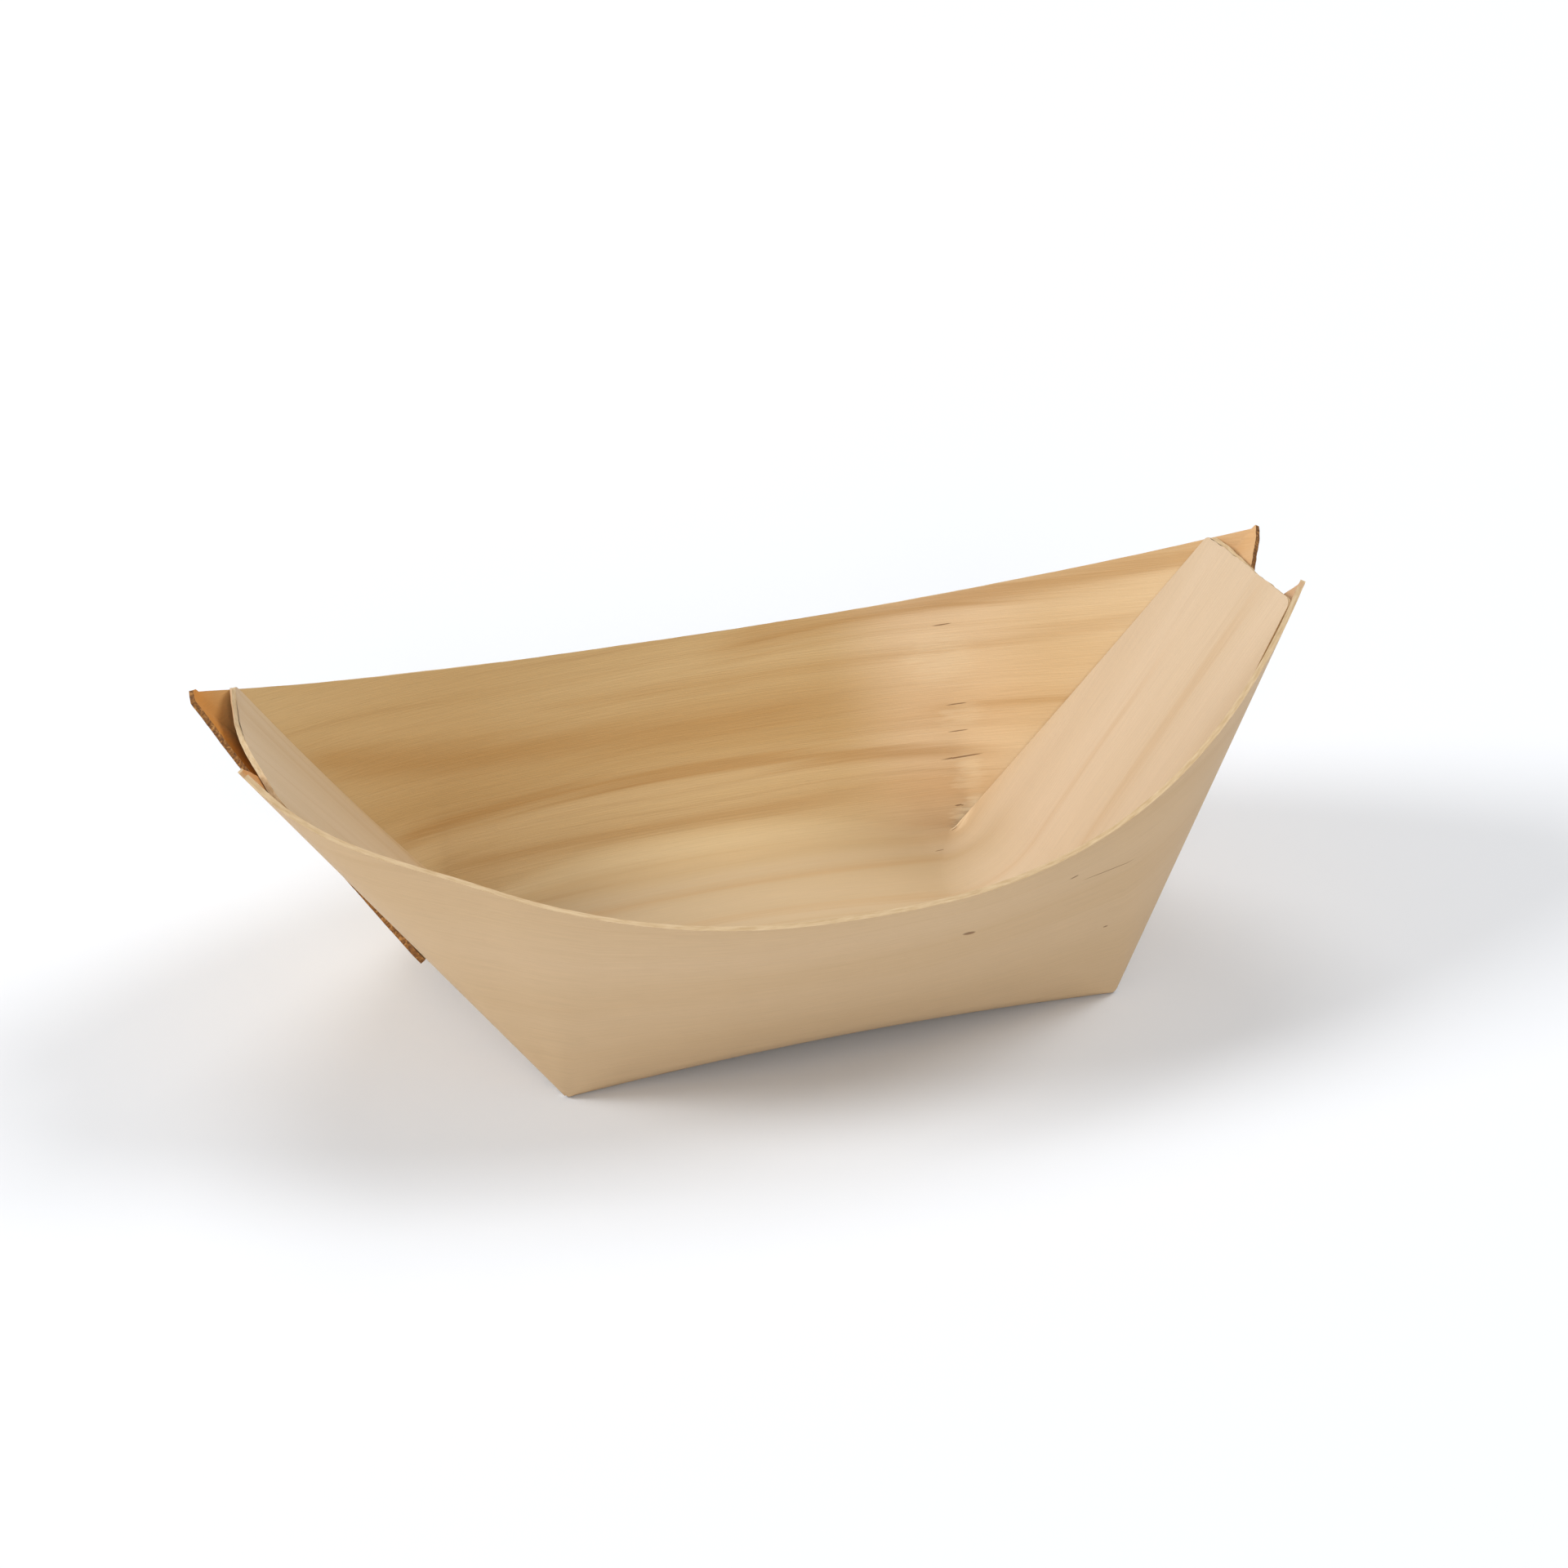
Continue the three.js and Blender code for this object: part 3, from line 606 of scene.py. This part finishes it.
# Closed thin mesh on both sides of a surface; even is the same surface with straight cuts, for the normals
def sheet_piece(name, surface, us, vs, edge_kinds, flip=False, soften=None, even=None):
    u, v = np.meshgrid(us[::-1] if flip else us, vs, indexing="ij")
    points, flat = surface(u, v)
    normal = surface_normals(even or surface, u, v)
    if soften:
        normal = soften(u, v, points, normal)
    half = normal * SHEET / 2
    coords = np.stack([points + half, points - half]).reshape(-1, 3) + CENTRE_SHIFT
    coords[:, 2] = np.maximum(coords[:, 2], 0)
    polygons, kinds = sheet_faces(*u.shape, edge_kinds, flip)
    mesh = bpy.data.meshes.new(name)
    mesh.from_pydata((coords * METRES).tolist(), [], polygons.tolist())
    mesh.update()
    for material in WOOD:
        mesh.materials.append(material)
    mesh.polygons.foreach_set("material_index", kinds.astype(np.int32))
    mesh.polygons.foreach_set("use_smooth", np.ones(len(polygons), bool))
    faces = np.stack([np.zeros(u.shape), np.ones(u.shape)])
    place = np.concatenate([np.stack([flat, flat]), faces[..., None]], -1)
    mesh.attributes.new("flat", "FLOAT_VECTOR", "POINT").data.foreach_set(
        "vector", place.astype(np.float32).ravel()
    )
    mesh.normals_split_custom_set(corner_normals(coords, polygons, normal.reshape(-1, 3)).tolist())
    piece = bpy.data.objects.new(name, mesh)
    bpy.context.scene.collection.objects.link(piece)
    return piece


def srgb(text):
    values = [int(text[i : i + 2], 16) / 255 for i in (0, 2, 4)]
    return tuple(v / 12.92 if v <= 0.04045 else ((v + 0.055) / 1.055) ** 2.4 for v in values)


# Material with short calls for its nodes; a colour is a socket or an sRGB text
class Nodes:
    def __init__(self, name):
        self.material = bpy.data.materials.new(name)
        self.material.use_nodes = True
        self.tree = self.material.node_tree
        self.tree.nodes.clear()
        output = self.tree.nodes.new("ShaderNodeOutputMaterial")
        self.shader = self.tree.nodes.new("ShaderNodeBsdfPrincipled")
        self.tree.links.new(self.shader.outputs[0], output.inputs[0])

    def put(self, socket, value):
        if isinstance(value, bpy.types.NodeSocket):
            self.tree.links.new(value, socket)
        else:
            socket.default_value = value

    def put_colour(self, socket, value):
        self.put(socket, value if isinstance(value, bpy.types.NodeSocket) else (*srgb(value), 1.0))

    def math(self, operation, *values):
        node = self.tree.nodes.new("ShaderNodeMath")
        node.operation = operation
        for socket, value in zip(node.inputs, values):
            self.put(socket, value)
        return node.outputs[0]

    def times(self, a, b):
        return self.math("MULTIPLY", a, b)

    def scaled(self, value, factor, offset):
        return self.math("MULTIPLY_ADD", value, factor, offset)

    def between(self, share, first, second):
        return self.scaled(share, second - first, first)

    def centred(self, value):
        return self.math("SUBTRACT", value, 0.5)

    def largest(self, values):
        total = values[0]
        for value in values[1:]:
            total = self.math("MAXIMUM", total, value)
        return total

    def vector(self, x, y, z):
        node = self.tree.nodes.new("ShaderNodeCombineXYZ")
        for socket, value in zip(node.inputs, (x, y, z)):
            self.put(socket, value)
        return node.outputs[0]

    def noise(self, vector, scale=1.0, detail=2.0, roughness=0.5):
        node = self.tree.nodes.new("ShaderNodeTexNoise")
        node.inputs["Scale"].default_value = scale
        node.inputs["Detail"].default_value = detail
        node.inputs["Roughness"].default_value = roughness
        self.put(node.inputs["Vector"], vector)
        return node.outputs["Fac"]

    def ramp(self, value, stops, colours):
        node = self.tree.nodes.new("ShaderNodeValToRGB")
        while len(node.color_ramp.elements) < len(stops):
            node.color_ramp.elements.new(0.5)
        for element, place, colour in zip(node.color_ramp.elements, stops, colours):
            element.position = place
            element.color = (*srgb(colour), 1.0)
        self.put(node.inputs[0], value)
        return node.outputs[0]

    def step(self, value, low, high):
        node = self.tree.nodes.new("ShaderNodeMapRange")
        node.interpolation_type = "SMOOTHSTEP"
        self.put(node.inputs["Value"], value)
        node.inputs["From Min"].default_value = low
        node.inputs["From Max"].default_value = high
        return node.outputs[0]

    def blend(self, amount, a, b, mode="MIX"):
        node = self.tree.nodes.new("ShaderNodeMix")
        node.data_type = "RGBA"
        node.blend_type = mode
        self.put(node.inputs[0], amount)
        self.put_colour(node.inputs[6], a)
        self.put_colour(node.inputs[7], b)
        return node.outputs[2]

    def bump(self, height, strength, distance):
        node = self.tree.nodes.new("ShaderNodeBump")
        node.inputs["Strength"].default_value = strength
        node.inputs["Distance"].default_value = distance
        self.put(node.inputs["Height"], height)
        self.tree.links.new(node.outputs[0], self.shader.inputs["Normal"])


# Grain noise: its rates along and across the sheet, its start and its change from the inside face
# to the outside one, and its detail and roughness
GRAIN = {
    "drift": (0.010, 0.03, 3.1, 0.0, 2.0, 0.5),
    "band": (0.004, 0.11, 1.7, 0.0, 2.0, 0.5),
    "line": (0.010, 0.62, 5.3, 0.0, 3.0, 0.6),
    "fibre": (0.12, 4.5, 0.0, 1.0, 3.0, 0.65),
    "sliver": (0.3, 2.2, 7.7, 0.0, 3.0, 0.5),
    "swell": (0.05, 0.14, 4.4, 0.0, 1.0, 0.5),
    "cut_edge": (0.5, 0.9, 0.0, 2.5, 3.0, 0.5),
    "end_grain": (0.6, 3.5, 0.0, 2.0, 3.0, 0.5),
}
GRAIN_DRIFT = 14.0

# Tones of the growth bands, from early wood to late wood
BAND_STOPS = (0.32, 0.50, 0.68)
BAND_TONES = {
    "sap": ("cdb596", "c6ad8b", "bea27d"),
    "heart": ("cfb07e", "c8a671", "be9961"),
    # painted_highlight: painted light on the bow end, which faces the lamps
    "painted_highlight": ("e6c9a2", "e1c298", "d8b486"),
    # low: paler low on the far wall, partly painted light that lifts the shade along the crease
    "low": ("e2c699", "dcc090", "d3b483"),
}

# Colour and strength of what lies over the growth bands
STAINS = {
    "floor": ("b49b73", 0.6),
    "bow_tongue": ("d4bb9e", 0.5),
    "outside": ("d1ad80", 0.4),
    "late_wood": ("a97f4c", 1.0),
    "streak": ("b0803f", 1.0),
    # tip: painted light, the orange glow of light through the thin veneer and bounced between its layers
    "tip": ("c98230", 1.0),
    # darker along the cut ends
    "darker_cut_end": ("8a5822", 0.45),
    # crushed: pale crushed fibres, partly painted highlight and painted light over the shaded inner corner
    "crushed_and_lit": ("f2dcb6", 1.0),
    "crack": ("6b4420", 0.7),
}

# Zones of the flat sheet in millimetres: where a tone begins and where it is full
HEART_ZONE = (15.0, 30.0)
# Paler low on the far wall, partly painted light over the shade along the crease
LIFTED_LOW_ZONE = (40.0, 26.0)
# Painted light on the bow end: where it begins, and where it fades past the bend
PAINTED_HIGHLIGHT_ZONE = (18.0, 33.0)
PAINTED_HIGHLIGHT_FADE_ZONE = (38.0, 52.0)
FLOOR_ZONE = (36.0, 24.0)
BOW_TONGUE_ZONE = (36.0, 46.0)
# Painted glow at the tips: where it lies along the sheet and across it, and which end gets more
GLOW_TIP_ZONE = (68.0, 82.0)
GLOW_SIDE_ZONE = (18.0, 26.0)
GLOW_STERN_ZONE = (10.0, -10.0)
# Darker along the cut ends: where it begins and how ragged it is
DARKER_CUT_END_ZONE = (83.0, 86.0)
DARKER_CUT_END_RAGGED = 3.0

# Strengths inside and outside the boat, of the painted light left past the bend, on the bow tongue, and of
# the painted glow at the bow and stern tips
BAND_BY_FACE = (1.0, 0.45)
LATE_WOOD_BY_FACE = (0.22, 0.10)
STREAK_BY_FACE = (0.8, 0.1)
GLOW_BY_FACE = (1.0, 0.25)
PAINTED_HIGHLIGHT_LEFT = 0.6
LATE_WOOD_ON_TONGUE = 0.5
GLOW_BY_END = (0.35, 0.95)

# Fine relief and gloss of the veneer
LATE_WOOD_LINES = (0.54, 0.74)
FIBRE_CONTRAST = 0.2
FIBRE_ROUGHNESS = (0.46, 0.68)
VENEER_SPECULAR = 0.35
LINE_HEIGHT = 0.35
SWELL_HEIGHT = 1.5
MARK_HEIGHT = -1.5

# Long darker streaks, each along a line across = offset + slope * along + curve * along^2: its offset, slope
# and curve, and its width, start, stop and strength
STREAKS = (
    (42.0, 0.006, 0.0020, 2.4, -60.0, 20.0, 0.6),
    (36.3, -0.03, -0.0012, 1.1, -46.0, 40.0, 0.7),
    (29.0, 0.01, 0.0010, 1.0, -36.0, 20.0, 0.4),
    (51.2, 0.095, 0.0, 1.5, 6.0, 80.0, 0.75),
    (47.5, 0.0, 0.0006, 0.9, -20.0, 66.0, 0.3),
    (40.0, 0.0, 0.0, 0.7, 34.0, 76.0, 0.45),
    (14.0, 0.02, 0.0012, 1.2, -26.0, 30.0, 0.3),
    (6.0, -0.01, 0.0, 0.8, -20.0, 70.0, 0.22),
    (-4.5, 0.01, 0.0, 0.9, -60.0, 86.0, 0.22),
)
STREAK_RAGGED = 4.0
STREAK_FADE_IN = 6.0
STREAK_FADE_OUT = 10.0

# Cracks over the bow's far bend, pale crushed fibres there, partly painted highlight with the strongest
# painted light over the shaded inner corner, and nicks outside: start and stop along the grain, place across
# it, slope and half width; the last number of a flake is its strength
CRACKS = (
    (33.0, 39.6, 33.1, 0.08, 0.13),
    (34.4, 35.8, 26.4, 0.05, 0.12),
    (34.2, 35.8, 22.3, 0.0, 0.14),
    (29.0, 30.6, 17.6, 0.1, 0.12),
    (34.0, 37.0, 51.4, 0.06, 0.1),
    (34.6, 38.0, 40.4, 0.05, 0.09),
    (34.5, 37.8, 36.7, 0.05, 0.09),
)
FLAKES_AND_HIGHLIGHTS = (
    (29.8, 39.8, 46.9, 0.0, 4.0, 0.3),
    (33.8, 40.2, 38.9, 0.1, 2.0, 0.28),
    (34.2, 39.4, 30.9, 0.1, 2.8, 0.42),
    (34.0, 40.6, 24.4, 0.1, 3.4, 0.9),
)
NICKS = (
    (12.4, 14.4, -46.1, 0.14, 0.34),
    (26.6, 28.0, -50.1, -0.05, 0.14),
    (28.0, 38.0, -48.2, 0.1, 0.07),
    (33.8, 34.6, -37.5, 0.0, 0.14),
)
SHARP_OUTLINE = (1.0, 0.35)
SOFT_OUTLINE = (1.4, 0.0)
FLAKE_RAGGED = 6.0
FLAKE_SLIVERS = (0.35, 0.6)
FLAKE_LEAST = 0.4


# Material by place on the flat sheet: along and across the grain, and 0 inside the boat or 1 outside it
class Wood(Nodes):
    def __init__(self, name):
        super().__init__(name)
        place = self.tree.nodes.new("ShaderNodeAttribute")
        place.attribute_name = "flat"
        split = self.tree.nodes.new("ShaderNodeSeparateXYZ")
        self.tree.links.new(place.outputs["Vector"], split.inputs[0])
        self.along, self.across, self.face = split.outputs
        self.inside = self.math("SUBTRACT", 1.0, self.face)

    def grain(self, kind, across):
        along_rate, across_rate, start, face_change, detail, roughness = GRAIN[kind]
        x = self.times(self.along, along_rate)
        y = self.times(across, across_rate)
        z = self.scaled(self.face, face_change, start)
        return self.noise(self.vector(x, y, z), detail=detail, roughness=roughness)

    def by_face(self, inside, outside):
        return self.between(self.inside, outside, inside)

    def stain(self, tone, amount, kind):
        colour, strength = STAINS[kind]
        return self.blend(self.times(amount, strength), tone, colour)

    def streak(self, across, offset, slope, curve, width, start, stop, strength):
        centre = self.scaled(self.scaled(self.along, curve, slope), self.along, offset)
        away = self.math("DIVIDE", self.math("SUBTRACT", across, centre), width)
        soft = self.math("EXPONENT", self.times(self.times(away, away), -1.0))
        begin = self.step(self.along, start - STREAK_FADE_IN, start + STREAK_FADE_IN)
        finish = self.step(self.along, stop + STREAK_FADE_OUT, stop - STREAK_FADE_OUT)
        return self.times(self.times(self.times(soft, begin), finish), strength)

    def mark(self, along, start, stop, place, slope, half_width, outline=SHARP_OUTLINE):
        way = self.math("SUBTRACT", along, (start + stop) / 2)
        reach = self.math("DIVIDE", way, (stop - start) / 2)
        offset = self.math("SUBTRACT", self.across, self.scaled(way, slope, place))
        away = self.math("DIVIDE", offset, half_width)
        return self.step(self.math("ADD", self.times(away, away), self.times(reach, reach)), *outline)


# Sapwood over the middle of the sheet and heartwood on the far side, paler low on the far wall with painted
# light that lifts the shade along the crease, and painted light on the bow end past its bend
def ground_tone(n, wander, on_bow_tongue):
    band = n.scaled(n.centred(n.grain("band", wander)), n.by_face(*BAND_BY_FACE), 0.5)
    tones = {key: n.ramp(band, BAND_STOPS, colours) for key, colours in BAND_TONES.items()}
    # Paler low on the far wall, partly painted light that lifts the shade along the crease
    heart = n.blend(n.step(n.across, *LIFTED_LOW_ZONE), tones["heart"], tones["low"])
    # Painted light on the bow end, fading past its bend
    painted_highlight_left = n.between(n.step(n.along, *PAINTED_HIGHLIGHT_FADE_ZONE), 1.0, PAINTED_HIGHLIGHT_LEFT)
    heart = n.blend(n.times(n.step(n.along, *PAINTED_HIGHLIGHT_ZONE), painted_highlight_left), heart, tones["painted_highlight"])
    on_floor = n.times(n.step(n.math("ABSOLUTE", n.along), *FLOOR_ZONE), n.inside)
    sap = n.stain(tones["sap"], on_floor, "floor")
    sap = n.stain(sap, on_bow_tongue, "bow_tongue")
    return n.stain(n.blend(n.step(wander, *HEART_ZONE), sap, heart), n.face, "outside")


# Sheet ends beside the tips: a painted orange glow of light through the thin veneer and bounced between its
# layers, and darker along the cut ends
def painted_glow_and_dark_cut_ends(n, tone, fibre):
    size = n.math("ABSOLUTE", n.along)
    beside = n.step(n.math("ABSOLUTE", n.across), *GLOW_SIDE_ZONE)
    # tip: where the painted glow lies
    tip = n.times(n.step(size, *GLOW_TIP_ZONE), beside)
    tip = n.times(tip, n.between(n.step(n.along, *GLOW_STERN_ZONE), *GLOW_BY_END))
    tone = n.stain(tone, n.times(tip, n.by_face(*GLOW_BY_FACE)), "tip")
    # Darker along the cut ends
    darker_cut_end = n.step(n.scaled(fibre, DARKER_CUT_END_RAGGED, size), *DARKER_CUT_END_ZONE)
    return n.stain(tone, n.times(darker_cut_end, beside), "darker_cut_end")


# Pale fibres crushed over the bow's far bend, partly painted highlight; the strongest is painted light over
# the shaded inner corner
def crushed_fibres_and_highlight(n):
    sliver = n.grain("sliver", n.across)
    torn = n.scaled(n.centred(sliver), FLAKE_RAGGED, n.along)
    flakes_and_highlights = [n.times(n.mark(torn, *place, SOFT_OUTLINE), strength) for *place, strength in FLAKES_AND_HIGHLIGHTS]
    uneven = n.between(n.step(sliver, *FLAKE_SLIVERS), FLAKE_LEAST, 1.0)
    return n.times(n.times(n.largest(flakes_and_highlights), uneven), n.inside)


# Pine veneer: growth bands and fibres that run along the sheet, continuous over every fold
def veneer_material():
    n = Wood("pine_veneer")
    wander = n.scaled(n.centred(n.grain("drift", n.across)), GRAIN_DRIFT, n.across)
    line = n.grain("line", wander)
    fibre = n.grain("fibre", n.across)
    on_bow_tongue = n.times(n.step(n.along, *BOW_TONGUE_ZONE), n.inside)
    tone = ground_tone(n, wander, on_bow_tongue)
    late = n.times(n.step(line, *LATE_WOOD_LINES), n.by_face(*LATE_WOOD_BY_FACE))
    late = n.times(late, n.between(on_bow_tongue, 1.0, LATE_WOOD_ON_TONGUE))
    tone = n.stain(tone, late, "late_wood")
    ragged = n.scaled(n.centred(line), STREAK_RAGGED, n.across)
    streaks = n.largest([n.streak(ragged, *values) for values in STREAKS])
    tone = n.stain(tone, n.times(streaks, n.by_face(*STREAK_BY_FACE)), "streak")
    tone = painted_glow_and_dark_cut_ends(n, tone, fibre)
    tone = n.stain(tone, crushed_fibres_and_highlight(n), "crushed_and_lit")
    cracks = n.times(n.largest([n.mark(n.along, *values) for values in CRACKS]), n.inside)
    nicks = n.times(n.largest([n.mark(n.along, *values) for values in NICKS]), n.face)
    marks = n.math("MAXIMUM", cracks, nicks)
    tone = n.stain(tone, marks, "crack")
    light = n.scaled(n.centred(fibre), FIBRE_CONTRAST, 1.0)
    colour = n.blend(1.0, tone, n.vector(light, light, light), "MULTIPLY")
    n.put(n.shader.inputs["Base Color"], colour)
    n.put(n.shader.inputs["Roughness"], n.between(fibre, *FIBRE_ROUGHNESS))
    n.put(n.shader.inputs["Specular IOR Level"], VENEER_SPECULAR)
    height = n.scaled(line, LINE_HEIGHT, fibre)
    height = n.scaled(n.grain("swell", n.across), SWELL_HEIGHT, height)
    height = n.scaled(marks, MARK_HEIGHT, height)
    n.bump(height, strength=0.25, distance=0.0002)
    return n.material


# Long cut edge of the sheet: paler, with short fibres along it
def edge_material():
    n = Wood("pine_cut_edge")
    fibre = n.grain("cut_edge", n.across)
    colour = n.ramp(fibre, (0.3, 0.5, 0.7), ("b5986e", "c1a67f", "cab18b"))
    n.put(n.shader.inputs["Base Color"], colour)
    n.put(n.shader.inputs["Roughness"], 0.75)
    n.bump(fibre, strength=0.3, distance=0.0002)
    return n.material


# Cut end across the grain: dark brown open fibres
def end_material():
    n = Wood("pine_end_grain")
    fibre = n.grain("end_grain", n.across)
    colour = n.ramp(fibre, (0.35, 0.55, 0.72), ("5f3a16", "8a5a25", "b98547"))
    n.put(n.shader.inputs["Base Color"], colour)
    n.put(n.shader.inputs["Roughness"], 0.85)
    n.bump(fibre, strength=0.5, distance=0.0003)
    return n.material


# Hardened glue between the layers
def glue_material():
    n = Nodes("hard_glue")
    coords = n.tree.nodes.new("ShaderNodeTexCoord")
    cloud = n.noise(coords.outputs["Object"], scale=420.0, detail=3.0)
    n.put(n.shader.inputs["Base Color"], n.ramp(cloud, (0.35, 0.65), ("d8c9a0", "efe6cf")))
    n.put(n.shader.inputs["Roughness"], n.between(cloud, 0.2, 0.45))
    n.bump(cloud, strength=0.3, distance=0.0003)
    return n.material


# Plain pale paper under the boat
def paper_material():
    n = Nodes("studio_paper")
    n.put(n.shader.inputs["Base Color"], (0.75, 0.765, 0.79, 1))
    n.put(n.shader.inputs["Roughness"], 0.9)
    n.put(n.shader.inputs["Specular IOR Level"], 0.1)
    return n.material


WOOD = (veneer_material(), edge_material(), end_material())
LONG_CUT = 1
END_CUT = 2
GLUE = glue_material()


def floor_piece():
    rows = spread((-2, -1, JOIN_ROWS), (-1, 1, FLOOR_ROWS), (1, 2, JOIN_ROWS))
    return sheet_piece("floor_veneer", floor_surface, np.linspace(-1, 1, WIDTH_COLUMNS), rows, {})


def side_wall_piece(side):
    return sheet_piece(
        f"{side}_side_wall_veneer",
        lambda a, v: wall_surface(side, a, v),
        np.linspace(-1, 1, WALL_COLUMNS),
        spread((0, 1, CREASE_ROWS), (1, 2, WALL_ROWS)),
        {"v1": LONG_CUT},
        flip=side == "near",
        soften=lambda a, v, points, normal: soften_wall(side, a, v, points, normal),
    )


def tongue_piece(end):
    def ragged(b):
        return END_RAGGED * wobble(b * TONGUE_WAVES, TONGUE_SEED[end.name])

    corner_rows = 2 + np.sin(np.linspace(0, math.pi / 2, CORNER_ROWS))[1:]
    return sheet_piece(
        f"{end.name}_tongue_veneer",
        lambda b, v: tongue_surface(end, b, v, ragged(b)),
        np.linspace(-1, 1, WIDTH_COLUMNS),
        np.concatenate([spread((0, 1, BEND_ROWS), (1, 2, TONGUE_ROWS)), corner_rows]),
        {"u0": LONG_CUT, "u1": LONG_CUT, "v1": LONG_CUT},
        flip=end.sign > 0,
        even=lambda b, v: tongue_surface(end, b, v),
    )


def cheek_piece(end, side):
    return sheet_piece(
        f"{end.name}_{side}_cheek_veneer",
        lambda s, v: cheek_surface(end, side, s, v),
        np.linspace(rim_bend(end, side), FOLD_AT, CHEEK_COLUMNS),
        np.linspace(0, 1, CHEEK_ROWS),
        {"v1": LONG_CUT},
        flip=SIDE_SIGN[side] * end.sign < 0,
        soften=lambda s, v, points, normal: soften_cheek(end.name, side, points, normal),
    )


def tuck_flap_piece(end, side):
    def ragged(p):
        return END_RAGGED * wobble(p * FLAP_WAVES, FLAP_SEED[end.name, side])

    flap = Flap(end, side)
    return sheet_piece(
        f"{end.name}_{side}_tuck_flap_veneer",
        lambda p, q: flap.surface(p, q, ragged(p)),
        np.linspace(0, 1, FLAP_COLUMNS),
        spread((0, FOLD_SHARE, FOLD_ROWS), (FOLD_SHARE, 1, FLAP_ROWS)),
        {"u0": LONG_CUT, "u1": LONG_CUT, "v1": END_CUT},
        flip=SIDE_SIGN[side] * end.sign > 0,
        even=lambda p, q: flap.surface(p, q),
    )


# Glue dab squeezed between the layers of an end: its solid, turned with the end's steeper slope
def glue_piece(end, layer):
    name = f"{end.name}_{layer}_glue_dab"
    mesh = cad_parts[f"{end.name}_{layer}_glue"].data.copy()
    mesh.name = name
    turn = Matrix.Rotation(STEEPER[end.name], 4, Vector(np.cross(end.outward, UP)))
    pivot = Matrix.Translation(Vector((end.middle + CENTRE_SHIFT) * METRES))
    mesh.transform(pivot @ turn @ pivot.inverted())
    mesh.materials.clear()
    mesh.materials.append(GLUE)
    piece = bpy.data.objects.new(name, mesh)
    bpy.context.scene.collection.objects.link(piece)
    return piece


def attach(piece, node):
    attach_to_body(piece, "root")
    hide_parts(node)


# The pieces of the boat
attach(floor_piece(), "floor")
for side in SIDES:
    attach(side_wall_piece(side), f"{side}_side_wall")
for name in ENDS:
    attach(tongue_piece(END[name]), f"{name}_tongue")
    for side in SIDES:
        attach(cheek_piece(END[name], side), f"{name}_{side}_cheek")
        attach(tuck_flap_piece(END[name], side), f"{name}_{side}_tuck_flap")
for name in ENDS:
    for layer in ("flap", "tongue"):
        attach(glue_piece(END[name], layer), f"{name}_{layer}_glue")

# Studio floor, in metres
STUDIO_HALF = 9
studio_corners = [(x * STUDIO_HALF, y * STUDIO_HALF, 0) for x, y in ((-1, -1), (1, -1), (1, 1), (-1, 1))]
studio_mesh = bpy.data.meshes.new("studio_floor")
studio_mesh.from_pydata(studio_corners, [], [(0, 1, 2, 3)])
studio_mesh.materials.append(paper_material())
studio = bpy.data.objects.new("studio_floor", studio_mesh)
bpy.context.scene.collection.objects.link(studio)

# Lights: place and size in metres, and power in watts
LIGHT_AIM = (0, 0, 0.02)
LIGHTS = {
    "key_light": ((-1.9, 0.4, 1.4), 1.1, 37.0),
    "top_light": ((0.2, 1.4, 2.0), 1.2, 16.0),
    "right_fill": ((1.6, 0.2, 1.8), 1.2, 24.0),
    "front_fill": ((-0.6, -2.5, 1.15), 1.4, 26.0),
}
WORLD_LIGHT = 0.34


def area_light(name, place, size, power):
    data = bpy.data.lights.new(name, "AREA")
    data.shape = "DISK"
    data.size = size
    data.energy = power
    light = bpy.data.objects.new(name, data)
    light.location = place
    light.rotation_euler = (Vector(LIGHT_AIM) - Vector(place)).to_track_quat("-Z", "Y").to_euler()
    bpy.context.scene.collection.objects.link(light)


for name, values in LIGHTS.items():
    area_light(name, *values)
world = bpy.data.worlds.new("studio")
bpy.context.scene.world = world
world.use_nodes = True
background = world.node_tree.nodes["Background"]
background.inputs["Color"].default_value = (1, 1, 1, 1)
background.inputs["Strength"].default_value = WORLD_LIGHT
bpy.context.scene.view_settings.view_transform = "Standard"

# Camera at the photograph's viewing angle: its way back, right and up from the boat in millimetres,
# and its focal length in pixels of the square picture
CAMERA_AZIMUTH = math.radians(-18.23)
CAMERA_ELEVATION = math.radians(27.22)
CAMERA_ROLL = math.radians(-0.45)
CAMERA_BACK = 526.7
CAMERA_RIGHT = 1.647
CAMERA_UP = 21.669
FOCAL_PIXELS = 4981.0
PICTURE_PIXELS = 1920
SENSOR = 36.0

level = np.array([math.sin(CAMERA_AZIMUTH), -math.cos(CAMERA_AZIMUTH), 0.0])
back = level * math.cos(CAMERA_ELEVATION) + UP * math.sin(CAMERA_ELEVATION)
right = np.array([math.cos(CAMERA_AZIMUTH), math.sin(CAMERA_AZIMUTH), 0.0])
up = np.cross(back, right)
turned_right = math.cos(CAMERA_ROLL) * right + math.sin(CAMERA_ROLL) * up
turned_up = -math.sin(CAMERA_ROLL) * right + math.cos(CAMERA_ROLL) * up
eye = back * CAMERA_BACK + turned_right * CAMERA_RIGHT + turned_up * CAMERA_UP + CENTRE_SHIFT
camera_data = bpy.data.cameras.new("camera")
camera_data.sensor_width = SENSOR
camera_data.lens = FOCAL_PIXELS / PICTURE_PIXELS * SENSOR
camera_data.clip_start = 0.01
camera = bpy.data.objects.new("camera", camera_data)
axes = np.stack([turned_right, turned_up, back, eye * METRES], 1)
camera.matrix_world = Matrix(axes.tolist() + [[0, 0, 0, 1]])
bpy.context.scene.collection.objects.link(camera)
bpy.context.scene.camera = camera

bpy.context.view_layer.update()
